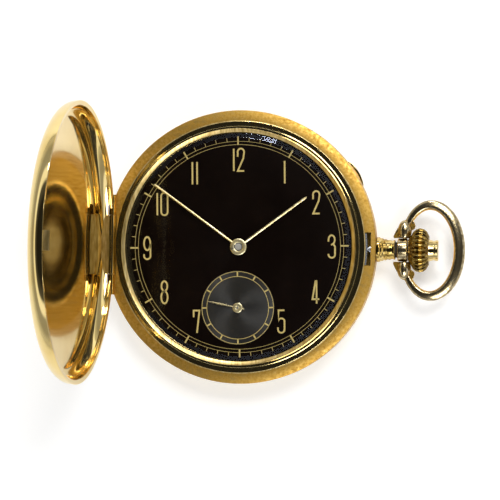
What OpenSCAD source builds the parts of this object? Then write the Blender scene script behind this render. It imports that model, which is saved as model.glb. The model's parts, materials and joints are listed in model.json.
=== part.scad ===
// Full hunter pocket watch, lying on its back with the front lid open.
// Millimetres. The origin is the centre of the flat on the back, +Z is up through the dial,
// +X points to the crown at 3 o'clock and +Y to 12 o'clock.

/* [Case] */
// Outer diameter of the case at its widest
case_d = 50; // [45:0.5:54]
// Thickness of the metal of both lids
lid_t = 0.6; // [0.5:0.05:0.7]
// Height of the band's outer wall between the seats of the two lids
band_h = 3.15; // [2.95:0.05:3.35]
// Rise of the front lid's dome above its rounded edge
dome_rise = 1.1; // [0.8:0.1:1.6]
// Angle that the front lid stands open at rest
lid_open = 92; // [88:1:96]
// Diameter of the flat on the back that the watch lies on
back_flat_d = 18; // [14:1:22]
// Thickness of the inner dust cover
cuvette_t = 0.3; // [0.2:0.05:0.4]
// Diameter of the hinge tubes
hinge_d = 1.3; // [1.2:0.05:1.3]
// Length of both hinges
hinge_l = 18.4; // [17.6:0.2:18.8]
// Diameter of the hinge pins
hinge_pin_d = 0.6; // [0.5:0.05:0.7]
// Width of the front lid's middle knuckle
front_knuckle_w = 10.7; // [9:0.1:11.5]
// Width of the back lid's middle knuckle
back_knuckle_w = 8.8; // [7.6:0.2:9.4]

/* [Bezel and glass] */
// Width of the bezel, from the glass opening to its foot
bezel_w = 1.95; // [1.75:0.05:2.05]
// Height of the bezel over its foot
bezel_h = 2.3; // [2.2:0.05:2.6]
// Thickness of the watch glass
glass_t = 0.6; // [0.5:0.05:0.8]
// Rise of the watch glass over its edge
glass_rise = 1.3; // [1.2:0.1:1.6]

/* [Dial and hands] */
// Thickness of the dial
dial_t = 0.4; // [0.3:0.05:0.5]
// Diameter of the sunk seconds dial
sub_d = 13.5; // [12.5:0.25:14]
// Depth of the sunk seconds dial
sub_depth = 0.15; // [0.1:0.05:0.2]
// Distance from the dial's centre to the seconds dial's centre
sub_y = 11.1; // [10.9:0.1:11.1]
// Length of the hour hand from its axis
hour_hand_l = 15.5; // [13:0.5:16.5]
// Distance from the tip of the minute hand out to the glass opening
minute_hand_gap = 2; // [1.8:0.1:4]
// Length of the seconds hand from its axis
seconds_hand_l = 5.9; // [5:0.1:6.2]
// Width of the hour and minute hands
hand_w = 0.4; // [0.3:0.05:0.6]
// Thickness of the hands
hand_t = 0.13; // [0.1:0.01:0.15]

/* [Movement] */
// Thickness of the bridges
bridge_t = 0.9; // [0.85:0.05:1]
// Height of the space that the wheels turn in
train_h = 2.35; // [2.35:0.05:2.6]
// Thickness of the main plate
plate_t = 0.8; // [0.75:0.05:0.9]
// Depth of the space under the dial for the motion work
motion_h = 0.8; // [0.75:0.05:0.9]
// Thickness of the ratchet and crown wheels
ratchet_t = 0.5; // [0.45:0.05:0.55]
// Diameter of the balance wheel's rim
balance_d = 10.2; // [9:0.2:10.2]
// Diameter of the jewels
jewel_d = 1.1; // [1:0.05:1.2]

/* [Winding] */
// Diameter of the crown at its widest
crown_d = 8.1; // [7.4:0.1:8.3]
// Length of the crown
crown_l = 3.3; // [3:0.1:3.6]
// Number of flutes round the crown
crown_flutes = 26; // [20:1:30]
// Diameter of the button in the crown
button_d = 4; // [3.4:0.1:4.4]
// Length that the button stands out of the crown
button_l = 1.7; // [1.5:0.1:2]
// Travel of the button
button_travel = 0.9; // [0.7:0.05:0.9]
// Distance that the crown pulls out to set the hands
pull_travel = 0.8; // [0.6:0.05:0.8]
// Diameter of the winding stem at its bearing
stem_d = 1.6; // [1.5:0.05:1.7]

/* [Pendant and bow] */
// Distance from the case to the pendant's outer end
pendant_l = 5.9; // [5.7:0.1:6.2]
// Diameter of the pendant's head
pendant_d = 4.1; // [3.9:0.1:4.2]
// Outer width of the bow
bow_w = 18.4; // [17.6:0.2:20]
// Distance from the bow's pivot to its far side
bow_l = 11.2; // [10.8:0.1:12.5]
// Thickness of the bow's wire at its far side
bow_wire = 2.2; // [1.8:0.1:2.4]
// Diameter of the egg-shaped ends of the bow
bow_end_d = 2.3; // [2.1:0.05:2.3]

/* [Fits] */
// Radial clearance of turning fits
run_gap = 0.03; // [0.02:0.01:0.05]
// Radial clearance of fixed fits
seat_gap = 0.01; // [0.01:0.005:0.02]
// Clearance between closed covers and the band
cover_gap = 0.05; // [0.04:0.01:0.06]

/* [Hidden] */
$fn = 96;

// Colours
gold = "goldenrod";
pale_gold = "khaki";
steel = "lightsteelblue";
nickel = "silver";
brass = "darkkhaki";

// Radii from the case outwards in
case_r = case_d/2;
lid_r = case_r - 0.2;
lid_in_r = lid_r - lid_t - 0.05;
seat_in_r = case_r - 1.85;
lip_r = case_r - 3;
wall_in_r = case_r - 1;
plate_r = case_r - 4;
bridge_r = plate_r - 0.5;
// Size of the movement against one with a plate of 21 mm radius
work = plate_r/21;
foot_w = 2.2*work;
foot_in_r = bridge_r - foot_w;
flange_r = plate_r + 0.4;
dial_r = plate_r + 0.2;
bezel_foot_r = case_r - 2.05;
glass_open_r = bezel_foot_r - bezel_w;
bezel_chamfer_w = 0.55;
bezel_cove_w = bezel_w - bezel_chamfer_w;
glass_r = glass_open_r + 0.45;

// Heights from the back up
back_flat_r = back_flat_d/2;
back_dome_r = 96;
function back_rise(r) =
    r <= back_flat_r ? 0 : back_dome_r - sqrt(pow(back_dome_r, 2) - pow(r - back_flat_r, 2));
cuvette_z = lid_t + 0.15;
wheels_z = cuvette_z + cuvette_t + back_rise(bridge_r) + 0.06;
bridge_z = wheels_z + ratchet_t + 0.05;
train_z = bridge_z + bridge_t;
plate_z = train_z + train_h;
motion_z = plate_z + plate_t;
dial_z = motion_z + motion_h;
dial_top = dial_z + dial_t;
ledge_z = dial_z - 0.65;
catch_z = dial_z - 1.2;
band_z1 = dial_z - 0.55;
band_z0 = band_z1 - band_h;
front_slope = 0.15;
back_slope = 0.5;
function front_seat(r) = band_z1 + (case_r - r)*front_slope;
function back_seat(r) = band_z0 - (case_r - r)*back_slope;
channel_z0 = band_z0 - 0.2;
channel_z1 = dial_z - 0.95;
bezel_z = front_seat(seat_in_r) + 0.03;
bezel_top_z = bezel_z + bezel_h;
glass_edge_z = bezel_top_z - 0.5;
glass_top_z = glass_edge_z + glass_rise;

// Winding pinion and the face teeth under the crown wheel that it drives
pinion_teeth = 18;
face_teeth = 32;
face_r = 3.2*work;
pinion_m = 2*face_r/face_teeth;
pinion_tip_r = pinion_m*(pinion_teeth/2 + 0.8);
face_top_z = train_z - 0.26;
stem_z = face_top_z + pinion_tip_r - 0.2;

// Hinges
hinge_r = hinge_d/2;
hinge_pin_r = hinge_pin_d/2;
hinge_x = -(case_r - 1.25);
front_hinge_z = band_z1 + 0.35;
back_hinge_z = band_z0 - 1;
chord_x = hinge_x + hinge_r + 0.1;
knuckle_gap = 0.1;
front_half = front_knuckle_w/2;
back_half = back_knuckle_w/2;
cuvette_knuckle_w = 2.6;
notch_y = hinge_l/2 + 0.15;

// Lid outlines
edge_in = 3;
edge_r = lid_r - edge_in;
front_edge_z = band_z1 + 0.65;
front_dome_z = glass_top_z + lid_t - 0.65;
lid_top_z = front_dome_z + dome_rise;
back_edge_z = band_z0 - 0.43;

// Pendant, crown and bow along the X axis
pendant_end = case_r + pendant_l;
pivot_x = pendant_end - 0.9;
pendant_r = pendant_d/2;
pendant_bore_r = 0.9;
tenon_r = 1.1;
crown_x0 = pendant_end + 0.3;
crown_x1 = crown_x0 + crown_l;
crown_r = crown_d/2;
button_r = button_d/2;
bow_end_r = bow_end_d/2;
bow_screw_r = 0.4;
stem_r = stem_d/2;
stem_tube_r = 0.5;
rod_r = 0.24;
collar_x = case_r - 1.3;
collar_l = 1.6;
collar_pin_x = case_r - 0.2;

// Gear train: teeth and modules
barrel_teeth = 84;
centre_leaves = 12;
barrel_m = 0.19*work;
centre_teeth = 64;
third_leaves = 8;
centre_m = 0.2*work;
third_teeth = 60;
fourth_leaves = 8;
third_m = 0.17*work;
fourth_teeth = 70;
escape_leaves = 7;
fourth_m = 0.15*work;
ratchet_teeth = 38;
crown_teeth = 28;
ratchet_m = 0.3*work;
cannon_leaves = 12;
minute_teeth = 36;
minute_m = 0.15*work;
minute_leaves = 10;
hour_teeth = 40;
hour_m = 0.144*work;
setting_teeth = 40;

function polar(r, a) = [r*cos(a), r*sin(a)];
function spacing(m, a, b) = m*(a + b)/2;
function direction(p, q) = atan2(q[1] - p[1], q[0] - p[0]);
// Second point of the triangle whose sides from p and q are rp and rq long, on the right of p to q
function meet(p, rp, q, rq) =
    let (d = norm(q - p), a = acos((rp*rp + d*d - rq*rq)/(2*rp*d)))
    p + polar(rp, direction(p, q) + a);
// Angle of a tooth of the second wheel so that it meshes with the first
function mesh(psi, na, phase_a, nb) = psi + 180 - (phase_a - psi)*na/nb + 180/nb;

// Places of the arbors on the plate
centre_at = [0, 0];
barrel_at = polar(spacing(barrel_m, barrel_teeth, centre_leaves), 55);
fourth_at = [0, -min(sub_y, 11.1*work)];
third_at = meet(centre_at, spacing(centre_m, centre_teeth, third_leaves),
                fourth_at, spacing(third_m, third_teeth, fourth_leaves));
escape_at = fourth_at + polar(spacing(fourth_m, fourth_teeth, escape_leaves), 205.7);
balance_r = min(balance_d/2, 5.1*work);
balance_out = 12.1*work;
balance_dir = 209.7;
balance_at = polar(balance_out, balance_dir);
ratchet_gap = spacing(ratchet_m, ratchet_teeth, crown_teeth);
crown_wheel_at = [barrel_at[0] + sqrt(pow(ratchet_gap, 2) - pow(barrel_at[1], 2)), 0];
minute_at = polar(spacing(minute_m, cannon_leaves, minute_teeth), -40);
setting_at = minute_at + polar(spacing(minute_m, minute_teeth, setting_teeth) + 0.02, 12);
pallet_at = escape_at + polar(3.6*work, direction(escape_at, balance_at));
click_at = barrel_at + polar(7.55*work, 100);

// Winding work along the stem
pinion_x = crown_wheel_at[0] + 2.67*work;
pinion_l = 1.1;
clutch_l = 2;
clutch_x = pinion_x - 0.2 - clutch_l;
clutch_r = stem_z - train_z - run_gap;
clutch_groove_x = clutch_x + 1;
clutch_groove_w = 0.6;
clutch_travel = pull_travel*0.875;
stem_square = 0.9;
lever_groove_x = pinion_x + 2.8*work;
lever_groove_w = 0.6;
stem_lug_x = pinion_x + 1.5*work;
setting_lever_at = [lever_groove_x + pull_travel/2, 3.2*work];
clutch_lever_at = [clutch_groove_x + clutch_groove_w/2 - clutch_travel/2, 5.2*work];

// Heights of the wheels over the bridges
centre_wheel_z = train_z + 0.1;
wheel_t = 0.22;
barrel_z = train_z + 0.65;
barrel_h = 1.55;
fourth_wheel_z = train_z + 0.75;
third_wheel_z = train_z + 1.25;
escape_wheel_z = train_z + 1.5;
balance_z = train_z + 0.25;
hand_z = dial_top + 0.35;
seconds_hand_z = dial_top + 0.12;
minute_hand_z = hand_z + 0.27;

// The time shown, as angles of the hands from +X
hour_a = 37;
minute_a = 144.8;
seconds_a = 169.2;

pivot_r = 0.14;
screw_r = 0.4;
screw_head_r = 0.85;
case_screw_head_r = 1.2;

module post(r, z0, z1, at = [0, 0]) {
    translate([at[0], at[1], z0]) cylinder(r = r, h = z1 - z0);
}

module tube(ro, ri, z0, z1, at = [0, 0]) {
    translate([at[0], at[1], z0]) rotate_extrude() translate([ri, 0]) square([ro - ri, z1 - z0]);
}

module x_rod(r, x0, x1) {
    translate([x0, 0, stem_z]) rotate([0, 90, 0]) cylinder(r = r, h = x1 - x0);
}

// A body turned about the stem's axis; points are [x, radius]
module x_turned(points) {
    translate([0, 0, stem_z]) rotate([90, 0, 90]) rotate_extrude()
        polygon([for (p = points) [p[1], p[0]]]);
}

module y_rod(r, x, z, y0, y1) {
    translate([x, y0, z]) rotate([-90, 0, 0]) cylinder(r = r, h = y1 - y0);
}

module box(x0, x1, y0, y1, z0, z1) {
    translate([x0, y0, z0]) cube([x1 - x0, y1 - y0, z1 - z0]);
}

// Points of a quarter ellipse from the crown of an edge, [r0, z0], out to its side, [r1, z1]
function quarter(r0, z0, r1, z1, n) =
    [for (i = [0:n]) let (a = 90*i/n) [r0 + (r1 - r0)*sin(a), z1 + (z0 - z1)*cos(a)]];
function front_dome(r, z) =
    let (big = (edge_r*edge_r + dome_rise*dome_rise)/(2*dome_rise))
    z + dome_rise - (big - sqrt(big*big - r*r));
function reverse(points) = [for (i = [len(points) - 1:-1:0]) points[i]];

// Straight-sided teeth that are thin enough to roll with backlash
module gear_outline(n, m, phase = 0) {
    tip = m*(n/2 + 0.8);
    root = m*(n/2 - 1.1);
    step = 360/n;
    polygon([for (i = [0:n - 1]) for (k = [[-0.27, root], [-0.11, tip], [0.11, tip], [0.27, root]])
        polar(k[1], phase + step*(i + k[0]))]);
}

module gear(n, m, z0, z1, at, phase = 0) {
    translate([at[0], at[1], z0]) linear_extrude(z1 - z0) gear_outline(n, m, phase);
}

// A wheel with a rim and spokes
module spoked_wheel(n, m, z0, at, phase, spokes, hub_r) {
    rim_in = m*(n/2 - 1.1) - 0.45;
    translate([at[0], at[1], z0]) linear_extrude(wheel_t) difference() {
        gear_outline(n, m, phase);
        difference() {
            circle(r = rim_in);
            circle(r = hub_r);
            for (i = [0:spokes - 1])
                rotate(phase + 360/spokes*i) translate([0, -0.2]) square([rim_in + 0.2, 0.4]);
        }
    }
}

// An arbor with a pivot at both ends
module arbor(at, r, back_end, front_end) {
    post(r, train_z + 0.05, plate_z - 0.05, at);
    post(pivot_r, back_end, train_z + 0.06, at);
    post(pivot_r, plate_z - 0.06, front_end, at);
}

function band_points() = [
    [case_r, band_z0], [case_r, band_z1], [seat_in_r, front_seat(seat_in_r)],
    [lip_r, front_seat(seat_in_r)], [lip_r, dial_z + 0.3], [flange_r + 0.05, dial_z + 0.3],
    [flange_r + 0.05, ledge_z], [plate_r + 0.05, ledge_z], [plate_r + 0.05, channel_z1],
    [wall_in_r, channel_z1], [wall_in_r, channel_z0], [case_r - 2.6, channel_z0],
    [case_r - 2.6, back_seat(seat_in_r)], [seat_in_r, back_seat(seat_in_r)]
];

module case_band() color(gold) {
    difference() {
        union() {
            rotate_extrude() polygon(band_points());
            for (side = [0, 1]) mirror([0, side, 0]) {
                hinge_end(front_half + knuckle_gap, front_hinge_z, band_z1 - 0.5);
                hinge_end(cuvette_end, back_hinge_z, band_z0 + 0.3);
            }
        }
        y_rod(hinge_r + 0.08, hinge_x, front_hinge_z, -front_half - knuckle_gap, front_half + knuckle_gap);
        box(-case_r - 1, chord_x, -front_half - knuckle_gap, front_half + knuckle_gap,
            front_hinge_z - hinge_r - 0.15, front_hinge_z + 1);
        y_rod(hinge_r + 0.08, hinge_x, back_hinge_z, -cuvette_end, cuvette_end);
        box(-case_r - 1, chord_x, -back_half - knuckle_gap, back_half + knuckle_gap,
            back_hinge_z - 1, back_hinge_z + hinge_r + 0.15);
        y_rod(hinge_pin_r + seat_gap, hinge_x, front_hinge_z, -hinge_l, hinge_l);
        y_rod(hinge_pin_r + seat_gap, hinge_x, back_hinge_z, -hinge_l, hinge_l);
        box(lip_r + 0.03, wall_in_r + 0.05, -catch_w/2 - 0.1, catch_w/2 + 0.2, channel_z1 - 0.1,
            dial_z + 1);
        x_rod(tenon_r + seat_gap, wall_in_r - 0.5, case_r + 1);
        for (a = [catch_a, lift_a])
            rotate(a) post(screw_r + seat_gap, band_z0 - 2, channel_z0 + 0.1, [spring_screw_r, 0]);
    }
}

cuvette_end = back_half + 1.5*knuckle_gap + cuvette_knuckle_w;
catch_w = 5.7;
catch_a = -40;
lift_a = 140;
spring_r = case_r - 2;
spring_screw_r = case_r - 1.8;

// One end tube of a hinge and the foot that joins it to the band
module hinge_end(y0, z, foot_z) {
    y_rod(hinge_r, hinge_x, z, y0, hinge_l/2);
    intersection() {
        box(hinge_x - hinge_r + 0.1, hinge_x + hinge_r, y0, hinge_l/2, min(z, foot_z), max(z, foot_z));
        cylinder(r = case_r, h = case_r);
    }
}

module pendant() color(gold) difference() {
    x_turned([
        [wall_in_r, pendant_bore_r], [wall_in_r, tenon_r], [case_r + 0.02, tenon_r], [case_r + 0.02, 2.3],
        [case_r + 0.5, 2.3], [case_r + 0.75, 2.1], [case_r + 1, 2.15], [case_r + 1.35, 1.9],
        [case_r + 1.6, 2], [case_r + 2, 1.78], [case_r + 2.4, 1.85], [case_r + 2.9, 1.7],
        [case_r + 3.55, 1.85], [case_r + 3.6, 1.45], [case_r + 4, 1.45],
        [case_r + 4, pendant_r - 0.1], [case_r + 4.1, pendant_r], [pendant_end - 0.1, pendant_r],
        [pendant_end, pendant_r - 0.1], [pendant_end, pendant_bore_r]
    ]);
    for (side = [-1, 1]) y_hole(side, bow_screw_r + seat_gap, 1.2, 3);
}

module y_hole(side, r, y0, y1) {
    if (side > 0) y_rod(r, pivot_x, stem_z, y0, y1);
    else y_rod(r, pivot_x, stem_z, -y1, -y0);
}

// Bow: an oval ring that is thickest at its far side, with egg-shaped ends on the pivots
bow_end_y = pendant_r + 0.1;
bow_arm_y = 5.2;
bow_sides = 14;
bow_rings = 36;
bow_far_r = bow_wire/2;
bow_arm_r = 0.62;
bow_mid_x = bow_l - bow_far_r - 5.3;
bow_half_w = bow_w/2 - 0.85;
bow_start_a = 180 - asin((bow_arm_y - 0.5)/bow_half_w);
function bow_a(t) = bow_start_a*(2*t - 1);
function bow_at(t) =
    let (a = bow_a(t))
    [bow_mid_x + 5.3*cos(a) - (abs(a) > 90 ? 0.25*cos(a) : 0), bow_half_w*sin(a), 0];
function bow_r(t) = bow_arm_r + (bow_far_r - bow_arm_r)*pow(sin(180*t), 0.75);
function sweep_ring(t, e = 0.01) =
    let (p = bow_at(t), d = bow_at(min(1, t + e)) - bow_at(max(0, t - e)), u = d/norm(d),
         n = [u[1], -u[0], 0], r = bow_r(t))
    [for (k = [0:bow_sides - 1]) let (a = 360*k/bow_sides) p + r*cos(a)*n + [0, 0, r*0.9*sin(a)]];

module bow() color(gold) {
    points = [for (i = [0:bow_rings]) each sweep_ring(i/bow_rings)];
    caps = [[for (k = [bow_sides - 1:-1:0]) k],
            [for (k = [0:bow_sides - 1]) bow_rings*bow_sides + k]];
    walls = [for (i = [0:bow_rings - 1]) for (k = [0:bow_sides - 1])
        let (a = i*bow_sides + k, b = i*bow_sides + (k + 1)%bow_sides)
        each [[a, b, a + bow_sides], [b, b + bow_sides, a + bow_sides]]];
    difference() {
        union() {
            translate([pivot_x, 0, stem_z]) polyhedron(points, concat(caps, walls));
            for (side = [-1, 1]) {
                translate([pivot_x, 0, stem_z]) rotate([-90*side, 0, 0]) rotate_extrude()
                    polygon(concat([[0, bow_end_y], [bow_end_r - 0.15, bow_end_y]],
                        [for (i = [0:8]) let (a = 180*i/16 - 8)
                            [bow_end_r*cos(max(a, -8)), bow_end_y + 0.55 + 2.75*sin(max(a, 0))]],
                        [[0, bow_end_y + 3.3]]));
                translate([pivot_x, 0, stem_z - 0.4]) linear_extrude(0.8) scale_y(side)
                    polygon(bow_web);
            }
        }
        for (side = [-1, 1]) y_hole(side, bow_screw_r + run_gap, 1, bow_end_y + 2.3);
    }
}

bow_web = [
    [0, bow_end_y], [-2, bow_end_y], [-1.75, 2.65], [-1.05, 3.55], [-0.3, 4.6], [0.35, 5.6],
    [1.5, 5.6], [1.85, 4.9], [2.15, 4.4], [1.6, 4.15], [0.6, 4.15], [0.6, bow_end_y]
];

// Turns a flat outline round to the other side of the X axis
module scale_y(side) {
    if (side > 0) children();
    else mirror([0, 1]) children();
}

module bow_screws() color(pale_gold) for (side = [-1, 1]) y_hole(side, bow_screw_r, 1.3, bow_end_y + 2.1);

// The front lid in its closed place
function front_lid_points() = concat(
    [[lid_r, front_seat(lid_r) + cover_gap]],
    reverse(quarter(edge_r, front_dome_z, lid_r, front_edge_z, 10)),
    [for (i = [9:-1:0]) let (r = edge_r*i/10) [r, front_dome(r, front_dome_z)]],
    [for (i = [0:9]) let (r = edge_r*i/10) [r, front_dome(r, front_dome_z) - lid_t]],
    quarter(edge_r, front_dome_z - lid_t, lid_in_r, front_edge_z, 10),
    [[lid_in_r - 0.2, front_edge_z - 0.15],
     [lid_in_r - 0.2, front_seat(lid_in_r - 0.2) + cover_gap]]);

function front_lid_filled() = concat(
    [[0, band_z1], [lid_r, band_z1]],
    reverse(quarter(edge_r, front_dome_z, lid_r, front_edge_z, 10)),
    [for (i = [9:-1:0]) let (r = edge_r*i/10) [r, front_dome(r, front_dome_z)]]);

module front_lid_closed() {
    difference() {
        union() {
            difference() {
                rotate_extrude() polygon(front_lid_points());
                box(-case_r - 1, chord_x, -notch_y, notch_y, 0, front_hinge_z + hinge_r + 0.15);
                box(-case_r - 1, hinge_x - hinge_r, -notch_y, notch_y, 0, front_hinge_z + 1.5);
            }
            intersection() {
                rotate_extrude() polygon(front_lid_filled());
                box(hinge_x - hinge_r, chord_x - 0.05, -front_half, front_half, front_hinge_z,
                    lid_top_z + 1);
            }
            y_rod(hinge_r, hinge_x, front_hinge_z, -front_half, front_half);
            // Catch lip, which goes down into the slot at 3 o'clock
            intersection() {
                rotate_extrude() polygon([
                    [case_r - 1.5, catch_z - 0.1], [case_r - 1.7, catch_z - 0.1],
                    [case_r - 1.7, catch_z + 0.2], [case_r - 1.5, catch_z + 0.3],
                    [case_r - 1.5, front_edge_z - 0.15], [lid_in_r - 0.1, front_edge_z - 0.15],
                    [lid_in_r - 0.1, front_seat(lid_in_r - 0.2) + cover_gap + 0.1],
                    [case_r - 1.1, front_seat(lid_in_r - 0.2) + cover_gap],
                    [case_r - 1.1, catch_z - 0.1]
                ]);
                box(0, case_r, -1.7, 1.7, 0, lid_top_z);
            }
        }
        y_rod(hinge_pin_r + run_gap, hinge_x, front_hinge_z, -hinge_l, hinge_l);
    }
}

module front_lid() color(gold)
    translate([hinge_x, 0, front_hinge_z]) rotate([0, -lid_open, 0])
        translate([-hinge_x, 0, -front_hinge_z]) front_lid_closed();

module front_hinge_pin() color(steel)
    y_rod(hinge_pin_r, hinge_x, front_hinge_z, -hinge_l/2, hinge_l/2);

function back_outline(t, r_out, z_side) = concat(
    [[0, t], [back_flat_r, t]],
    [for (i = [1:7]) let (r = back_flat_r + (edge_r + 0.4 - back_flat_r)*i/8) [r, t + back_rise(r)]],
    quarter(edge_r + 0.4, t + back_rise(edge_r + 0.4), r_out, z_side, 10));

module back_lid() color(gold) {
    difference() {
        union() {
            difference() {
                rotate_extrude() polygon(concat(
                    back_outline(0, lid_r, back_edge_z),
                    [[lid_r, back_seat(lid_r) - cover_gap], [lid_in_r, back_seat(lid_in_r) - cover_gap]],
                    reverse(back_outline(lid_t, lid_in_r, back_edge_z))));
                box(-case_r - 1, chord_x, -notch_y, notch_y, back_hinge_z - hinge_r - 0.15, case_r);
                box(-case_r, chord_x + 0.6, -cuvette_end, cuvette_end, back_hinge_z - hinge_r - 0.15,
                    case_r);
                box(-case_r - 1, hinge_x - hinge_r, -notch_y, notch_y, back_hinge_z - 1.5, case_r);
            }
            intersection() {
                rotate_extrude() polygon(concat(back_outline(0, lid_r, back_edge_z), [[0, back_edge_z]]));
                box(hinge_x - hinge_r, chord_x - 0.05, -back_half, back_half, 0, back_hinge_z);
            }
            y_rod(hinge_r, hinge_x, back_hinge_z, -back_half, back_half);
            // Thumb lip for opening the back
            rotate(thumb_a) intersection() {
                tube(case_r + 0.55, lid_in_r + 0.1, band_z0 - 0.65, band_z0 - 0.1);
                box(0, case_r + 1, -2.7, 2.7, 0, band_z0);
            }
        }
        difference() {
            rotate(thumb_a) box(case_r - 2, case_r + 1, -3, 3, band_z0 - 0.7, band_z0);
            rotate_extrude() polygon([[0, 0], [case_r + 1, 0], [case_r + 1, band_z0 - cover_gap - 0.05],
                [case_r - 0.05, band_z0 - cover_gap - 0.05],
                [lid_in_r - 1, back_seat(lid_in_r - 1) - cover_gap],
                [0, back_seat(lid_in_r - 1)]]);
        }
        y_rod(hinge_pin_r + run_gap, hinge_x, back_hinge_z, -hinge_l, hinge_l);
    }
}

thumb_a = 34;

module back_hinge_pin() color(steel)
    y_rod(hinge_pin_r, hinge_x, back_hinge_z, -hinge_l/2, hinge_l/2);

cuvette_rim_r = seat_in_r - 0.05;
module cuvette() color(gold) {
    rim_z = back_seat(seat_in_r) - cover_gap;
    foot = case_r - 4;
    difference() {
        union() {
            rotate_extrude() polygon(concat(
                [[0, cuvette_z], [back_flat_r, cuvette_z]],
                [for (i = [1:6]) let (r = back_flat_r + (foot - back_flat_r)*i/6)
                    [r, cuvette_z + back_rise(r)]],
                [[foot + 1.3, rim_z - 0.55], [cuvette_rim_r, rim_z - 0.4], [cuvette_rim_r, rim_z],
                 [foot + 1.4, rim_z], [foot + 1.1, rim_z - 0.3]],
                [for (i = [6:-1:1]) let (r = back_flat_r + (foot - back_flat_r)*i/6)
                    [r, cuvette_z + cuvette_t + back_rise(r)]],
                [[back_flat_r, cuvette_z + cuvette_t], [0, cuvette_z + cuvette_t]]));
            for (side = [0, 1]) mirror([0, side, 0]) {
                y_rod(hinge_r, hinge_x, back_hinge_z, back_half + knuckle_gap,
                      back_half + knuckle_gap + cuvette_knuckle_w);
                box(hinge_x, hinge_x + 1.6, back_half + knuckle_gap,
                    back_half + knuckle_gap + cuvette_knuckle_w, back_hinge_z - 0.35, back_hinge_z);
            }
        }
        box(-case_r, chord_x, -back_half - knuckle_gap, back_half + knuckle_gap, 0, case_r);
        y_rod(hinge_pin_r + run_gap, hinge_x, back_hinge_z, -hinge_l, hinge_l);
    }
}

module bezel() color(gold) rotate_extrude() polygon(concat(
    [[lip_r + 0.05, bezel_z], [bezel_foot_r, bezel_z]],
    [for (i = [0:8]) let (a = 90*i/8)
        [bezel_foot_r - bezel_cove_w*sin(a), bezel_top_z - (bezel_h - 0.25)*cos(a)]],
    [[glass_open_r, glass_edge_z + 0.08], [glass_r + 0.03, glass_edge_z + 0.03],
     [glass_r + 0.03, glass_edge_z - glass_t - 0.02], [glass_open_r, glass_edge_z - glass_t - 0.1],
     [glass_open_r, dial_top + 0.05], [lip_r + 0.05, dial_top + 0.05]]));

function glass_dome(r, rise, r_edge, z_edge) =
    let (big = (r_edge*r_edge + rise*rise)/(2*rise)) z_edge + rise - (big - sqrt(big*big - r*r));

module watch_glass() color("white", 0.3) rotate_extrude() polygon(concat(
    [for (i = [0:12]) let (r = (glass_open_r - 0.05)*i/12)
        [r, glass_dome(r, glass_rise, glass_open_r - 0.05, glass_edge_z)]],
    [[glass_r, glass_edge_z - 0.05], [glass_r, glass_edge_z - glass_t]],
    [for (i = [12:-1:0]) let (r = (glass_open_r - 0.3)*i/12)
        [r, glass_dome(r, glass_rise - 0.15, glass_open_r - 0.3, glass_edge_z - glass_t + 0.1)]]));

// Flat spring bent along the channel, with a screwed foot
spring_z0 = channel_z0 + 0.4;
spring_z1 = channel_z0 + 2;
module case_spring(a_foot, a_tip) {
    difference() {
        union() {
            translate([0, 0, spring_z0])
                rotate_extrude(start = min(a_foot, a_tip), angle = abs(a_tip - a_foot))
                    translate([spring_r - 0.2, 0]) square([0.4, spring_z1 - spring_z0]);
            rotate(a_foot) box(spring_r - 0.45, spring_r + 0.75, -1.2, 1.2, channel_z0 + 0.05, spring_z1);
        }
        rotate(a_foot) post(screw_r + seat_gap, channel_z0, case_r, [spring_screw_r, 0]);
    }
}

module lift_spring() color(steel) {
    case_spring(lift_a, 179);
    translate([0, 0, spring_z0]) rotate_extrude(start = 174, angle = 5)
        translate([spring_r - 0.2, 0]) square([0.4, channel_z1 - spring_z0 - 0.1]);
}

module catch_spring() color(steel) difference() {
    union() {
        case_spring(catch_a, 6);
        intersection() {
            rotate_extrude() polygon([
                [spring_r - 0.2, channel_z0 + 0.1], [spring_r + 0.2, channel_z0 + 0.1],
                [spring_r + 0.2, catch_z + 0.3], [spring_r + 0.42, catch_z + 0.4],
                [spring_r + 0.42, catch_z + 0.55], [spring_r + 0.2, catch_z + 0.65],
                [spring_r + 0.2, bezel_z - 0.1], [spring_r - 0.2, bezel_z - 0.1]
            ]);
            box(0, case_r, -catch_w/2, catch_w/2, 0, case_r);
        }
    }
    for (y = [0, -0.25, -0.5]) translate([0, y, 0]) x_rod(stem_tube_r + 0.15, spring_r - 2, case_r);
}

module case_spring_screws() color(steel) for (a = [catch_a, lift_a]) rotate(a) {
    post(screw_r, band_z0 - 0.6, spring_z1 + 0.1, [spring_screw_r, 0]);
    post(0.65, spring_z1, spring_z1 + 0.25, [spring_screw_r, 0]);
}

module crown() color(gold) difference() {
    x_turned([
        [crown_x0, stem_tube_r + seat_gap], [crown_x0, crown_r*0.48], [crown_x0 + 0.25, crown_r*0.7],
        [crown_x0 + 0.7, crown_r*0.88], [crown_x0 + 1.3, crown_r*0.975], [crown_x0 + 1.9, crown_r],
        [crown_x1 - 0.8, crown_r*0.96], [crown_x1 - 0.3, crown_r*0.85], [crown_x1, crown_r*0.66],
        [crown_x1, button_r + 0.05], [crown_x1 - 1.6, button_r + 0.05],
        [crown_x1 - 1.6, stem_tube_r + seat_gap]
    ]);
    for (i = [0:crown_flutes - 1]) translate([0, 0, stem_z]) rotate([360/crown_flutes*i, 0, 0])
        translate([crown_x0 - 1, 0, crown_r + 0.12]) rotate([0, 90, 0]) cylinder(r = 0.3, h = crown_l + 2);
}

button_skirt = 0.6;
button_x0 = crown_x1 - button_skirt;
module crown_button() color(gold) {
    x_turned([
        [collar_pin_x - 0.3, 0], [collar_pin_x - 0.3, rod_r], [button_x0, rod_r],
        [button_x0, button_r - 0.1], [crown_x1, button_r], [crown_x1 + 0.25, button_r - 0.05],
        [crown_x1 + button_l*0.5, button_r - 0.22], [crown_x1 + button_l*0.8, button_r - 0.05],
        [crown_x1 + button_l, button_r - 0.15], [crown_x1 + button_l, 0]
    ]);
}

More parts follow.
